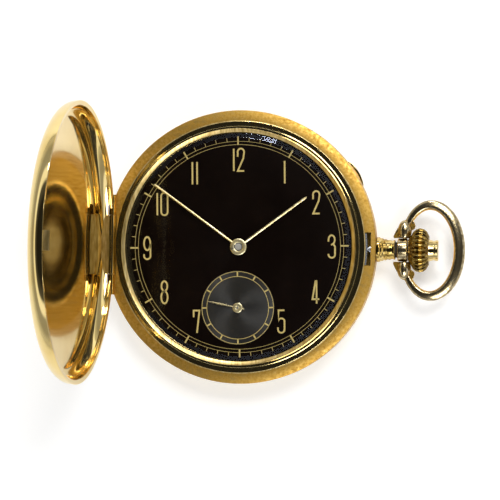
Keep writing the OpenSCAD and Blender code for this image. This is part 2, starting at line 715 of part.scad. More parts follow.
// Open coil under the button
module button_spring() color(steel) {
    turns = 3;
    coil_r = button_r - 0.45;
    wire = 0.12;
    x0 = crown_x1 - 1.6 + wire;
    x1 = button_x0 - wire;
    steps = 12*turns;
    ring = [for (k = [0:5]) 60*k];
    points = [for (i = [0:steps]) let (a = 360*turns*i/steps, x = x0 + (x1 - x0)*i/steps)
        for (b = ring) [x + wire*sin(b), (coil_r + wire*cos(b))*cos(a), (coil_r + wire*cos(b))*sin(a)]];
    walls = [for (i = [0:steps - 1]) for (k = [0:5])
        let (a = 6*i + k, b = 6*i + (k + 1)%6) each [[a, b, a + 6], [b, b + 6, a + 6]]];
    translate([0, 0, stem_z]) polyhedron(points, concat(walls, [[5, 4, 3, 2, 1, 0]],
        [[for (k = [0:5]) 6*steps + k]]));
}

module release_collar() color(steel) {
    difference() {
        union() {
            x_turned([[collar_x, stem_tube_r + run_gap], [collar_x, pendant_bore_r - run_gap],
                [collar_x + collar_l, pendant_bore_r - run_gap], [collar_x + collar_l, stem_tube_r + run_gap]]);
            y_rod(0.15, collar_pin_x, stem_z, -pendant_bore_r + 0.1, pendant_bore_r - 0.1);
        }
        x_rod(rod_r + seat_gap, 0, case_r*2);
    }
}

module winding_stem() color(steel) {
    bearing_x = pinion_x + pinion_l + 0.1;
    difference() {
        union() {
            x_rod(0.45, clutch_x - 2.1, clutch_x - 0.25);
            box(clutch_x - 0.3, pinion_x - 0.15, -stem_square/2, stem_square/2, stem_z - stem_square/2,
                stem_z + stem_square/2);
            x_rod(0.75, pinion_x - 0.2, bearing_x);
            x_rod(stem_r, bearing_x, lever_groove_x - lever_groove_w/2);
            x_rod(0.4, lever_groove_x - 0.5, lever_groove_x + 0.5);
            x_rod(stem_r, lever_groove_x + lever_groove_w/2, lever_groove_x + 1.2);
            x_rod(stem_tube_r, lever_groove_x + 1, crown_x1 - 1.6);
        }
        x_rod(rod_r + run_gap, collar_x - 1.2, crown_x1);
        box(collar_pin_x - button_travel - 0.25, collar_pin_x + 0.2, -1, 1, stem_z - 0.18, stem_z + 0.18);
    }
}

module winding_pinion() color(steel) difference() {
    translate([pinion_x, 0, stem_z]) rotate([90, 0, 90]) linear_extrude(pinion_l)
        gear_outline(pinion_teeth, pinion_m, -90);
    x_rod(0.75 + run_gap, 0, case_r);
}

module sliding_clutch() color(steel) difference() {
    union() {
        x_rod(clutch_r, clutch_x, clutch_groove_x - 0.001);
        x_rod(1, clutch_groove_x - 0.01, clutch_groove_x + clutch_groove_w + 0.01);
        x_rod(clutch_r, clutch_groove_x + clutch_groove_w, clutch_x + clutch_l);
    }
    box(0, case_r, -stem_square/2 - run_gap, stem_square/2 + run_gap, stem_z - stem_square/2 - run_gap,
        stem_z + stem_square/2 + run_gap);
    for (i = [0:7]) translate([clutch_x, 0, stem_z]) rotate([45*i, 0, 0])
        box(-0.2, 0.2, -0.15, 0.15, 1, clutch_r + 0.2);
}

lever_t = 0.28;
lever_z = motion_z + 0.05;
// Flat lever with a round boss at its screw and a pin that reaches down to the stem
module keyless_lever(at, pin_at, w, pin_end) {
    a = direction(at, pin_at);
    difference() {
        union() {
            post(1.05, lever_z, lever_z + lever_t, at);
            translate([at[0], at[1], lever_z]) rotate(a)
                box(0, norm(pin_at - at) + w/2, -w/2, w/2, 0, lever_t);
            post(0.2, pin_end, lever_z + 0.1, pin_at);
        }
        post(screw_r + run_gap, lever_z - 1, lever_z + 1, at);
    }
}

module setting_lever() color(steel)
    keyless_lever(setting_lever_at, [lever_groove_x, 0], 0.8, stem_z + 0.5);

module clutch_lever() color(steel)
    keyless_lever(clutch_lever_at, [clutch_groove_x + clutch_groove_w/2, 0], 0.7, stem_z + 1.1);

// Flat cover spring that holds both levers down
cover_spring_z = lever_z + lever_t + 0.04;
module setting_lever_spring() color(steel) difference() {
    translate([0, 0, cover_spring_z]) linear_extrude(0.2) polygon([
        clutch_lever_at + [-1.1, 1.1], clutch_lever_at + [-1.1, -0.6], clutch_lever_at + [0.8, -1.1],
        setting_lever_at + [-0.9, -0.9], setting_lever_at + [0.4, -2], setting_lever_at + [0.9, -0.8],
        setting_lever_at + [0.6, 0.9]
    ]);
    for (p = [setting_lever_at, clutch_lever_at])
        post(screw_r + seat_gap, cover_spring_z - 1, cover_spring_z + 1, p);
}

module keyless_screws() color(steel) for (p = [setting_lever_at, clutch_lever_at]) {
    post(screw_r, plate_z + 0.2, cover_spring_z + 0.22, p);
    post(0.7, cover_spring_z + 0.2, dial_z - 0.02, p);
}

minute_phase = mesh(direction(centre_at, minute_at), cannon_leaves, minute_a, minute_teeth);
setting_phase = mesh(direction(minute_at, setting_at), minute_teeth, minute_phase, setting_teeth);
minute_leaf_phase = direction(minute_at, centre_at);
hour_phase = mesh(direction(minute_at, centre_at), minute_leaves, minute_leaf_phase, hour_teeth);
setting_z = motion_z - 0.28;
module setting_wheel() color(brass) difference() {
    gear(setting_teeth, minute_m, setting_z, motion_z + 0.25, setting_at, setting_phase);
    post(0.5 + run_gap, 0, case_r, setting_at);
}

dial_foot_r = 0.43;
dial_foot_at = [polar(plate_r - 0.8, 45), polar(plate_r - 0.8, 225)];
module dial() color("black") difference() {
    union() {
        post(dial_r, dial_z, dial_top);
        for (p = dial_foot_at) post(dial_foot_r, dial_z - 1.2, dial_z + 0.1, p);
    }
    post(1.3, dial_z - 1, dial_top + 1);
    post(sub_d/2, dial_top - sub_depth, dial_top + 1, fourth_at);
    post(0.5, dial_z - 1, dial_top + 1, fourth_at);
}

module dial_screws() color(steel) for (p = dial_foot_at)
    rotate(direction([0, 0], p)) translate([plate_r - 0.35, 0, plate_z + 0.4]) rotate([0, 90, 0])
        cylinder(r = 0.3, h = 0.33);

// A straight hand on a round boss
module hand(at, a, z, len, w, bore_r, boss_r, tail) {
    translate([at[0], at[1], z]) rotate(a) difference() {
        union() {
            cylinder(r = boss_r, h = hand_t);
            linear_extrude(hand_t) polygon([[-tail, -w/2], [len - 2*w, -w/2], [len, 0], [len - 2*w, w/2],
                [-tail, w/2]]);
        }
        translate([0, 0, -1]) cylinder(r = bore_r, h = 2);
    }
}

cannon_r = 0.73;
hour_pipe_in = cannon_r + run_gap;
hour_pipe_r = 1.05;
arbor_top_r = 0.6;
hand_boss_r = 1.65;
module hour_hand() color(pale_gold)
    hand(centre_at, hour_a, hand_z, hour_hand_l, hand_w, hour_pipe_r + seat_gap, hand_boss_r, 0);

module minute_hand() color(pale_gold)
    hand(centre_at, minute_a, minute_hand_z, glass_open_r - minute_hand_gap, hand_w,
        cannon_r + seat_gap, hand_boss_r, 0);

seconds_pivot_r = 0.2;
module seconds_hand() color(pale_gold) translate([fourth_at[0], fourth_at[1], seconds_hand_z])
    rotate(seconds_a) difference() {
        linear_extrude(hand_t - 0.03) union() {
            circle(r = 0.9);
            polygon([[-1.3, -0.12], [0, -0.2], [2.4, -0.32], [seconds_hand_l, 0], [2.4, 0.32], [0, 0.2],
                [-1.3, 0.12]]);
        }
        translate([0, 0, -1]) cylinder(r = seconds_pivot_r + seat_gap, h = 2);
    }

// Screw places
bridge_screw_r = bridge_r - 1.2;
barrel_screws = [for (a = [128, 62, 20]) polar(bridge_screw_r, a)];
train_screws = [for (a = [268, 325]) polar(bridge_screw_r - 0.1, a)];
cock_screws = [polar(bridge_screw_r - 0.1, balance_dir)];
pallet_arm = 4.3*work;
pallet_foot_at = pallet_at + polar(pallet_arm, 222);
case_screw_at = [polar(plate_r - 0.6, 82), polar(plate_r - 0.6, 290)];
jewel_r = jewel_d/2;
bridge_jewels = [third_at, fourth_at, escape_at];

module main_plate() color(nickel) difference() {
    union() {
        post(plate_r, plate_z, motion_z);
        tube(plate_r, plate_r - 1.6, motion_z - 0.1, dial_z);
        tube(flange_r, plate_r - 0.2, ledge_z, dial_z);
        post(0.4, motion_z - 0.1, dial_z - 0.1, minute_at);
        // Lugs that carry the stem
        box(clutch_x - 1.6, clutch_x - 0.9, -0.85, 0.85, stem_z - 0.8, plate_z + 0.1);
        box(stem_lug_x, stem_lug_x + 0.75, -1.3, 1.3, stem_z - 1.2, plate_z + 0.1);
    }
    difference() {
        post(setting_r + 0.15, motion_z - 0.3, dial_z, setting_at);
        post(0.5, motion_z - 0.4, motion_z + 0.25, setting_at);
    }
    box(clutch_x - 0.85, pinion_x + pinion_l + 0.15, -2.25, 2.25, plate_z - 0.5, dial_z);
    box(lever_groove_x - 0.6, lever_groove_x + pull_travel + 0.6, -0.5, 0.5, plate_z - 0.5, dial_z);
    x_rod(0.45 + run_gap, 0, clutch_x);
    x_rod(stem_r + run_gap, clutch_x, case_r);
    post(0.75 + run_gap, 0, case_r);
    post(arbor_bearing_r + run_gap, 0, case_r, barrel_at);
    for (p = concat(bridge_jewels, [balance_at, pallet_at])) post(jewel_r + seat_gap, 0, case_r, p);
    for (p = dial_foot_at) {
        post(dial_foot_r + seat_gap, dial_z - 1.25, dial_z + 1, p);
        rotate(direction([0, 0], p)) translate([plate_r - 0.8, 0, plate_z + 0.4]) rotate([0, 90, 0])
            cylinder(r = 0.3 + seat_gap, h = 2);
    }
    for (p = concat(barrel_screws, train_screws, cock_screws, [pallet_foot_at, setting_lever_at,
        clutch_lever_at])) post(screw_r + seat_gap, 0, motion_z + 0.01, p);
    for (p = case_screw_at) {
        post(case_screw_head_r + 0.05, plate_z - 1, channel_z1 - 0.03, p);
        post(screw_r + seat_gap, plate_z, dial_z - 0.1, p);
    }
}

setting_r = minute_m*(setting_teeth/2 + 0.8);

module case_screws() color(steel) for (p = case_screw_at) {
    post(case_screw_head_r, channel_z1 - 0.45, channel_z1 - 0.05, p);
    post(screw_r, channel_z1 - 0.1, dial_z - 0.2, p);
}

// A bridge cut from a disc, with feet round the rim; the outline is drawn for the 21 mm plate
module bridge(outline, screws) difference() {
    intersection() {
        union() {
            post(bridge_r, bridge_z, train_z);
            tube(bridge_r, foot_in_r, train_z - 0.1, plate_z);
        }
        translate([0, 0, bridge_z - 1]) linear_extrude(case_r) polygon(outline*work);
    }
    for (p = screws) {
        post(screw_head_r + 0.03, bridge_z - 1, bridge_z + 0.3, p);
        post(screw_r + seat_gap, bridge_z - 1, plate_z + 1, p);
    }
}

module barrel_bridge() color(nickel) difference() {
    bridge([[-9.5, 21], [-9.5, 3], [-3, -2.8], [5, -2.8], [7.6, -5], [21, -5], [21, 21]], barrel_screws);
    post(0.45 + run_gap, 0, case_r);
    post(arbor_bearing_r + run_gap, 0, case_r, barrel_at);
    tube(crown_hub_r + 0.1, crown_bore_r + 0.07, bridge_z - 1, train_z - 0.2, crown_wheel_at);
    post(screw_r + seat_gap, bridge_z - 1, train_z - 0.1, crown_wheel_at);
    post(screw_r + seat_gap, bridge_z - 1, train_z - 0.1, click_at);
    post(0.3 + seat_gap, bridge_z - 1, train_z - 0.1, click_spring_at);
    box(pinion_x - 0.1, pinion_x + pinion_l + 0.15, -pinion_tip_r - 0.34, pinion_tip_r + 0.34, bridge_z - 1,
        train_z + 1);
    box(foot_in_r - 1, case_r, -1.4, 1.4, train_z, plate_z + 1);
}

module train_bridge() color(nickel) difference() {
    bridge([[-4.5, -3.1], [4.9, -3.1], [7.5, -5.3], [21, -5.3], [21, -21], [-9, -21], [-9, -16.5],
        [-4.5, -11.5]], train_screws);
    post(balance_r + 1, 0, case_r, balance_at);
    for (p = bridge_jewels) post(jewel_r + seat_gap, 0, case_r, p);
}

cock_t = 0.5;
cock_w = 5.6*work;
stud_at = balance_at + polar(3*work, 120);
module balance_cock() color(nickel) difference() {
    union() {
        intersection() {
            union() {
                post(bridge_r, bridge_z, bridge_z + cock_t);
                tube(bridge_r, balance_out + balance_r + 0.45, bridge_z, plate_z);
            }
            rotate(balance_dir) box(9.5*work, case_r, -cock_w/2, cock_w/2, 0, case_r);
        }
        post(3.2*work, bridge_z, bridge_z + cock_t, balance_at);
        post(0.2, bridge_z + cock_t - 0.1, bridge_z + cock_t + 0.3, stud_at);
    }
    post(jewel_r + seat_gap, 0, case_r, balance_at);
    for (p = cock_screws) {
        post(screw_head_r + 0.03, bridge_z - 1, bridge_z + 0.3, p);
        post(screw_r + seat_gap, bridge_z - 1, plate_z + 1, p);
    }
}

pallet_cock_z = escape_wheel_z - 0.6;
pallet_cock_t = 0.35;
module pallet_cock() color(nickel) difference() {
    union() {
        translate([pallet_at[0], pallet_at[1], pallet_cock_z]) rotate(direction(pallet_at, pallet_foot_at))
            box(0, pallet_arm, -0.75, 0.75, 0, pallet_cock_t);
        post(0.95, pallet_cock_z, pallet_cock_z + pallet_cock_t, pallet_at);
        post(0.95, pallet_cock_z, plate_z, pallet_foot_at);
    }
    post(jewel_r + seat_gap, 0, case_r, pallet_at);
    post(screw_r + seat_gap, 0, case_r, pallet_foot_at);
}

module bridge_screws() color(steel) {
    for (p = concat(barrel_screws, train_screws, cock_screws)) difference() {
        union() {
            post(screw_head_r, bridge_z, bridge_z + 0.28, p);
            post(screw_r, bridge_z + 0.2, motion_z - 0.1, p);
        }
        translate([p[0], p[1], bridge_z]) rotate(p[0]*20) cube([3, 0.2, 0.24], center = true);
    }
    post(screw_r, pallet_cock_z - 0.02, plate_z + 0.4, pallet_foot_at);
    post(0.7, pallet_cock_z - 0.12, pallet_cock_z - 0.01, pallet_foot_at);
}

barrel_out_r = barrel_m*(barrel_teeth/2 - 1.1) - 0.05;
barrel_wall = 0.35;
barrel_phase = direction(barrel_at, centre_at);
module mainspring_barrel() color(brass) difference() {
    union() {
        gear(barrel_teeth, barrel_m, barrel_z + barrel_h - 0.5, barrel_z + barrel_h, barrel_at,
            barrel_phase);
        tube(barrel_out_r, barrel_out_r - barrel_wall, barrel_z, barrel_z + barrel_h - 0.4, barrel_at);
    }
    post(arbor_bearing_r + run_gap, 0, case_r, barrel_at);
}

module barrel_cover() color(brass)
    tube(barrel_out_r - barrel_wall - seat_gap, arbor_bearing_r + run_gap, barrel_z, barrel_z + 0.2,
        barrel_at);

arbor_square = 1.3;
arbor_bearing_r = 1;
arbor_hub_r = 2*work;
module barrel_arbor() color(steel) difference() {
    union() {
        post(arbor_bearing_r, bridge_z, plate_z + 0.7, barrel_at);
        post(arbor_hub_r, barrel_z + 0.25, barrel_z + barrel_h - 0.55, barrel_at);
        translate([barrel_at[0], barrel_at[1], wheels_z + ratchet_t/2 + 0.05])
            cube([arbor_square, arbor_square, ratchet_t], center = true);
    }
    post(screw_r + seat_gap, 0, bridge_z + 0.6, barrel_at);
}

// Points of a flat spiral band
function spiral(r0, r1, t, turns, n) = concat(
    [for (i = [0:n]) polar(r0 + (r1 - r0)*i/n - t/2, 360*turns*i/n)],
    [for (i = [n:-1:0]) polar(r0 + (r1 - r0)*i/n + t/2, 360*turns*i/n)]);

module mainspring() color(steel)
    translate([barrel_at[0], barrel_at[1], barrel_z + 0.27]) linear_extrude(barrel_h - 0.87)
        polygon(spiral(arbor_hub_r + 0.25, barrel_out_r - barrel_wall - 0.18, 0.2, 7, 168));

crown_spur_phase = 0;
ratchet_phase = mesh(direction(crown_wheel_at, barrel_at), crown_teeth, crown_spur_phase, ratchet_teeth);
module ratchet_wheel() color(steel) difference() {
    gear(ratchet_teeth, ratchet_m, wheels_z, wheels_z + ratchet_t, barrel_at, ratchet_phase);
    translate([barrel_at[0], barrel_at[1], wheels_z])
        cube([arbor_square + 2*seat_gap, arbor_square + 2*seat_gap, 4], center = true);
}

module ratchet_screw() color(steel) {
    post(1.3, wheels_z - 0.25, wheels_z - 0.01, barrel_at);
    post(screw_r, wheels_z - 0.1, bridge_z + 0.5, barrel_at);
}

crown_bore_r = 2.45*work;
crown_hub_r = 3.8*work;
module crown_wheel() color(steel) {
    difference() {
        union() {
            gear(crown_teeth, ratchet_m, wheels_z, wheels_z + ratchet_t, crown_wheel_at, crown_spur_phase);
            tube(crown_hub_r, crown_bore_r + 0.15, wheels_z + ratchet_t - 0.05, bridge_z + 0.15,
                crown_wheel_at);
            for (i = [0:face_teeth - 1])
                translate([crown_wheel_at[0], crown_wheel_at[1], bridge_z + 0.1])
                    rotate(360/face_teeth*(i + 0.5)) box(face_r - 0.48*work, face_r + 0.52*work, -0.1, 0.1, 0,
                        face_top_z - bridge_z - 0.1);
        }
        post(crown_bore_r, 0, case_r, crown_wheel_at);
    }
}

module crown_wheel_core() color(steel) {
    post(crown_bore_r - run_gap, wheels_z - 0.02, bridge_z, crown_wheel_at);
    post(crown_bore_r + 0.45, wheels_z - 0.18, wheels_z - 0.02, crown_wheel_at);
    post(screw_r, bridge_z - 0.1, train_z - 0.2, crown_wheel_at);
}

click_spring_at = barrel_at + polar(9.4*work, 118);
click_t = 0.45;
click_z = wheels_z + 0.05;
click_a = direction(click_at, barrel_at) + 38;
module click() color(steel) difference() {
    union() {
        post(0.85, click_z, click_z + click_t, click_at);
        translate([click_at[0], click_at[1], click_z]) linear_extrude(click_t) rotate(click_a)
            polygon(work*[[0, -0.6], [1.6, -0.55], [1.75, -0.35], [0.6, 0.6], [0, 0.6]]);
    }
    post(screw_r + run_gap, 0, case_r, click_at);
}

module click_spring() color(steel) {
    a = direction(click_spring_at, click_at);
    post(0.3, click_z, train_z - 0.2, click_spring_at);
    post(0.5, click_z, click_z + click_t, click_spring_at);
    translate([click_spring_at[0], click_spring_at[1], click_z]) rotate(a)
        box(0, norm(click_at - click_spring_at) - 0.95, -0.08, 0.08, 0, 0.4);
    post(screw_r, click_z - 0.02, train_z - 0.2, click_at);
    post(0.75, click_z - 0.15, click_z - 0.01, click_at);
}

centre_leaf_phase = mesh(direction(barrel_at, centre_at), barrel_teeth, barrel_phase, centre_leaves);
centre_phase = direction(centre_at, third_at);
third_leaf_phase = mesh(direction(centre_at, third_at), centre_teeth, centre_phase, third_leaves);
third_phase = direction(third_at, fourth_at);
fourth_leaf_phase = mesh(direction(third_at, fourth_at), third_teeth, third_phase, fourth_leaves);
fourth_phase = direction(fourth_at, escape_at);
escape_leaf_phase = mesh(direction(fourth_at, escape_at), fourth_teeth, fourth_phase, escape_leaves);

module centre_wheel() color(brass) {
    spoked_wheel(centre_teeth, centre_m, centre_wheel_z, centre_at, centre_phase, 5, 1.4);
    gear(centre_leaves, barrel_m, centre_wheel_z + 0.1, barrel_z + barrel_h + 0.05, centre_at,
        centre_leaf_phase);
    post(0.45, bridge_z + 0.25, train_z + 0.1, centre_at);
    post(0.7, train_z + 0.05, motion_z + 0.02, centre_at);
    post(arbor_top_r, motion_z, minute_hand_z + 0.25, centre_at);
}

module third_wheel() color(brass) {
    spoked_wheel(third_teeth, third_m, third_wheel_z, third_at, third_phase, 5, 0.8);
    gear(third_leaves, centre_m, centre_wheel_z - 0.05, centre_wheel_z + 0.5, third_at, third_leaf_phase);
    arbor(third_at, 0.35, bridge_z + 0.25, motion_z - 0.2);
}

module fourth_wheel() color(brass) {
    spoked_wheel(fourth_teeth, fourth_m, fourth_wheel_z, fourth_at, fourth_phase, 5, 0.8);
    gear(fourth_leaves, third_m, third_wheel_z - 0.15, third_wheel_z + 0.5, fourth_at, fourth_leaf_phase);
    arbor(fourth_at, 0.35, bridge_z + 0.25, motion_z - 0.2);
    post(seconds_pivot_r, plate_z - 0.06, seconds_hand_z + 0.15, fourth_at);
}

escape_r = 2.5*work;
module escape_wheel() color(steel) {
    translate([escape_at[0], escape_at[1], escape_wheel_z]) linear_extrude(0.2) difference() {
        polygon([for (i = [0:14])
            for (k = [[0, escape_r], [3, escape_r], [7, escape_r - 0.75], [19, escape_r - 0.75]])
            polar(k[1], 24*i + k[0])]);
        difference() {
            circle(r = escape_r - 1);
            circle(r = 0.7);
            for (i = [0:3]) rotate(90*i) translate([0, -0.15]) square([escape_r, 0.3]);
        }
    }
    gear(escape_leaves, fourth_m, fourth_wheel_z - 0.1, fourth_wheel_z + 0.4, escape_at, escape_leaf_phase);
    arbor(escape_at, 0.28, bridge_z + 0.25, motion_z - 0.2);
}

module pallet_fork() color(steel) {
    reach = (norm(balance_at - pallet_at) - 0.78)/work;
    translate([pallet_at[0], pallet_at[1], escape_wheel_z]) rotate(direction(pallet_at, balance_at))
        linear_extrude(0.2) scale([work, work]) {
            translate([-0.3, -0.15]) square([reach - 0.2, 0.3]);
            translate([-0.35, -1.9]) square([0.6, 3.8]);
            for (side = [-1, 1]) {
                translate([-1.5, side*1.72 - 0.14]) square([1.6, 0.28]);
                translate([reach - 0.6, side*0.3 - 0.11]) square([0.6, 0.22]);
            }
            translate([reach - 0.75, -0.41]) square([0.25, 0.82]);
        }
    post(0.2, pallet_cock_z + 0.4, plate_z - 0.05, pallet_at);
    post(pivot_r, pallet_cock_z + 0.1, plate_z + 0.4, pallet_at);
}

module balance_wheel() color(gold) {
    tube(balance_r, balance_r - 0.5, balance_z, balance_z + 0.5, balance_at);
    translate([balance_at[0], balance_at[1], balance_z + 0.1]) rotate(25)
        box(-balance_r + 0.2, balance_r - 0.2, -0.35, 0.35, 0, 0.25);
    post(0.8, balance_z + 0.05, balance_z + 0.45, balance_at);
    post(0.25, bridge_z + cock_t + 0.1, plate_z - 0.05, balance_at);
    post(pivot_r, bridge_z + 0.2, plate_z + 0.4, balance_at);
    post(0.6, escape_wheel_z - 0.3, escape_wheel_z - 0.1, balance_at);
    post(0.1, escape_wheel_z - 0.15, escape_wheel_z + 0.22,
        balance_at + polar(0.45, direction(balance_at, pallet_at)));
    for (i = [0:9]) translate([balance_at[0], balance_at[1], balance_z + 0.25]) rotate([0, 0, 36*i + 7])
        translate([balance_r - 0.05, 0, 0]) rotate([0, 90, 0]) cylinder(r = 0.18, h = 0.2);
}

module hairspring() color(steel) translate([balance_at[0], balance_at[1], bridge_z + cock_t + 0.12]) {
    linear_extrude(0.12) polygon(spiral(0.5, 2.6*work, 0.06, 10, 200));
    difference() {
        cylinder(r = 0.52, h = 0.15);
        translate([0, 0, -1]) cylinder(r = 0.25 + seat_gap, h = 2);
    }
}

regulator_z = bridge_z - 0.22;
module regulator() color(steel) translate([balance_at[0], balance_at[1], regulator_z]) difference() {
    linear_extrude(0.18) difference() {
        union() {
            circle(r = 1.25);
            rotate(75) polygon([[0, -0.45], [4.6*work, -0.12], [4.6*work, 0.12], [0, 0.45]]);
            rotate(-105) polygon([[0, -0.4], [2.4*work, -0.3], [2.4*work, 0.3], [0, 0.4]]);
        }
        circle(r = jewel_r + 0.15);
    }
}

module cannon_pinion() color(steel) difference() {
    union() {
        gear(cannon_leaves, minute_m, motion_z + 0.05, motion_z + 0.35, centre_at, minute_a);
        post(cannon_r, motion_z + 0.1, minute_hand_z + hand_t, centre_at);
    }
    post(arbor_top_r + seat_gap, 0, case_r);
}

module minute_wheel() color(brass) difference() {
    union() {
        gear(minute_teeth, minute_m, motion_z + 0.05, motion_z + 0.25, minute_at, minute_phase);
        gear(minute_leaves, hour_m, motion_z + 0.2, motion_z + 0.68, minute_at, minute_leaf_phase);
    }
    post(0.4 + run_gap, 0, case_r, minute_at);
}

module hour_wheel() color(brass) difference() {
    union() {
        gear(hour_teeth, hour_m, motion_z + 0.42, motion_z + 0.62, centre_at, hour_phase);
        post(hour_pipe_r, motion_z + 0.5, hand_z + hand_t, centre_at);
    }
    post(hour_pipe_in, 0, case_r);
}

// Ring-shaped jewel with its pivot hole
module jewel(at, z, h, bore_r) {
    tube(jewel_r, bore_r, z, z + h, at);
}

module jewels() color("crimson") {
    for (p = bridge_jewels) jewel(p, bridge_z + 0.35, 0.4, pivot_r + 0.02);
    for (p = [third_at, escape_at, balance_at, pallet_at]) jewel(p, plate_z + 0.1, 0.4, pivot_r + 0.02);
    jewel(fourth_at, plate_z + 0.1, 0.4, seconds_pivot_r + 0.02);
    jewel(balance_at, bridge_z + 0.15, 0.3, pivot_r + 0.02);
    jewel(pallet_at, pallet_cock_z + 0.05, 0.28, pivot_r + 0.02);
}

case_band();
pendant();
bow();
bow_screws();
front_lid();
front_hinge_pin();
back_lid();
back_hinge_pin();
cuvette();
bezel();
watch_glass();
lift_spring();
catch_spring();
case_spring_screws();
crown();
crown_button();
button_spring();
release_collar();
winding_stem();
winding_pinion();
sliding_clutch();
setting_lever();
clutch_lever();
setting_lever_spring();
keyless_screws();
setting_wheel();
dial();
dial_screws();
hour_hand();
minute_hand();
seconds_hand();
main_plate();
case_screws();
barrel_bridge();
train_bridge();
balance_cock();
pallet_cock();
bridge_screws();
mainspring_barrel();
barrel_cover();
barrel_arbor();
mainspring();
ratchet_wheel();
ratchet_screw();
crown_wheel();
crown_wheel_core();
click();
click_spring();
centre_wheel();
third_wheel();
fourth_wheel();
escape_wheel();
pallet_fork();
balance_wheel();
hairspring();
regulator();
cannon_pinion();
minute_wheel();
hour_wheel();
jewels();
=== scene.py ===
# %% [markdown]
# # A full hunter pocket watch with its front lid open
#
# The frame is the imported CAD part: every piece of the watch, in metres, lying on its back.
# This lesson dresses it. Pieces that the eye rests on, such as the lids, the bezel, the dial and
# the crown, are made again here with finer curves and rounded edges, and stand for the CAD node
# they replace. Pieces deep inside keep their CAD solid and get a finish of their own.

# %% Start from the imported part
import json
import math

import bmesh
import bpy
from mathutils import Matrix, Vector


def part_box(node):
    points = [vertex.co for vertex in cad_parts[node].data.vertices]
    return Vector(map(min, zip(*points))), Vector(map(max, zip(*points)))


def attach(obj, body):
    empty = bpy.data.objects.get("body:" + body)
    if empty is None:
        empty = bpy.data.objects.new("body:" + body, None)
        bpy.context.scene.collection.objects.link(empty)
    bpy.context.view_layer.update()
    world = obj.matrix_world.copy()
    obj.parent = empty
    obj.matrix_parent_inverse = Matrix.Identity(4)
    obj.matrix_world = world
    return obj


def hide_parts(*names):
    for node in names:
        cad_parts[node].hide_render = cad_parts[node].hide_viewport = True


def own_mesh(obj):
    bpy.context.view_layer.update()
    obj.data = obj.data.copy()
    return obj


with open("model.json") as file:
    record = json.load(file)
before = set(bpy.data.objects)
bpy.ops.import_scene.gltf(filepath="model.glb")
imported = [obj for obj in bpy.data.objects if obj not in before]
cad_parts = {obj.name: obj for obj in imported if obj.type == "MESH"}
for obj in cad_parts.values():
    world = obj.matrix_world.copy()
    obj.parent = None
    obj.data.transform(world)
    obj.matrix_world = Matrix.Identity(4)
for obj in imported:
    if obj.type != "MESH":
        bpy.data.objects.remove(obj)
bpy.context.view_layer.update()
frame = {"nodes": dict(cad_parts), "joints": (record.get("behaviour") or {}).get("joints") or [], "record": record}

MM = 0.001

# %% [markdown]
# ## Sizes that the pieces share
#
# A watch case is turned on a lathe, so nearly every size is a radius or a height over the back.
# Reading them keeps this dress on the body when the part's source changes. The few that no box
# can tell, such as the width of a shoulder, are typed here in millimetres.

# %% Sizes read from the frame
def span(node):
    """Lowest and highest corner of a node, in millimetres."""
    low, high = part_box(node)
    return [v / MM for v in low], [v / MM for v in high]


joints = {j["name"]: j for j in frame["joints"]}


def joint_at(name):
    """Where a joint's axis passes, in millimetres."""
    return [v / MM for v in joints[name]["pos_m"]]


bezel_low, bezel_high = span("bezel")
glass_high = span("watch_glass")[1]
dial_low, dial_high = span("dial")

case_r = span("case_band")[1][0]
bezel_r, bezel_top = bezel_high[0], bezel_high[2]
bezel_z = bezel_low[2]
glass_r, glass_top = glass_high[0], glass_high[2]
dial_r, dial_top = dial_high[0], dial_high[2]
lid_hinge = joint_at("front_lid_hinge")
back_hinge = joint_at("back_lid_hinge")
bow_pivot = joint_at("bow_pivot")
stem_z = bow_pivot[2]
seconds_at = joint_at("fourth_turn")[:2]
print("case radius", round(case_r, 2), "mm, dial top", round(dial_top, 2), "mm")

# %% [markdown]
# ## The camera
#
# The photograph looks almost straight down. The open lid shows both faces of its rim, and rings
# at different heights sit a little apart, so the tilt can be worked out from those rings: nearly
# nine degrees towards the crown. The lens is long, because the lid's far rim, 55 mm up, is only
# slightly larger than the case. One vector from the target to the camera holds all of that.

# %% Place the camera
IMAGE = 500
TILT = math.radians(8.739)
LEAN = math.radians(0.553)
ROLL = math.radians(1.15)
DISTANCE = 446.96
PIXELS_PER_MM = 5.482
TARGET = Vector((1.984, -0.53, 7.0)) * MM

back_axis = Vector((math.sin(TILT) * math.cos(LEAN), -math.sin(LEAN), math.cos(TILT) * math.cos(LEAN)))
right_axis = Vector((0, 1, 0)).cross(back_axis).normalized()
up_axis = back_axis.cross(right_axis)
image_right = right_axis * math.cos(ROLL) + up_axis * math.sin(ROLL)
image_up = up_axis * math.cos(ROLL) - right_axis * math.sin(ROLL)

camera_data = bpy.data.cameras.new("camera")
camera = bpy.data.objects.new("camera", camera_data)
bpy.context.scene.collection.objects.link(camera)
camera_data.sensor_width = 36
camera_data.lens = PIXELS_PER_MM * DISTANCE * camera_data.sensor_width / IMAGE
camera_data.clip_end = 10
camera.matrix_world = Matrix((
    (image_right.x, image_up.x, back_axis.x, 0),
    (image_right.y, image_up.y, back_axis.y, 0),
    (image_right.z, image_up.z, back_axis.z, 0),
    (0, 0, 0, 1),
))
camera.location = TARGET + back_axis * DISTANCE * MM
bpy.context.scene.camera = camera
print("lens", round(camera_data.lens, 1), "mm")

# %% [markdown]
# ## Making turned pieces
#
# Most of the case is turned: a profile goes once round an axis. A Screw modifier can do that,
# but mesh code gives the same ring with the count of sides under control and no seam.
# A lathe tool never leaves a knife edge, so each corner of a profile is first replaced by a
# short arc, which is what catches the light along a real rim.

# %% Mesh helpers
SHARP_TURN = math.radians(16)


def new_object(name, verts, faces):
    """A mesh object from corners in millimetres."""
    mesh = bpy.data.meshes.new(name)
    mesh.from_pydata([tuple(c * MM for c in v) for v in verts], [], faces)
    mesh.validate()
    obj = bpy.data.objects.new(name, mesh)
    bpy.context.scene.collection.objects.link(obj)
    return obj


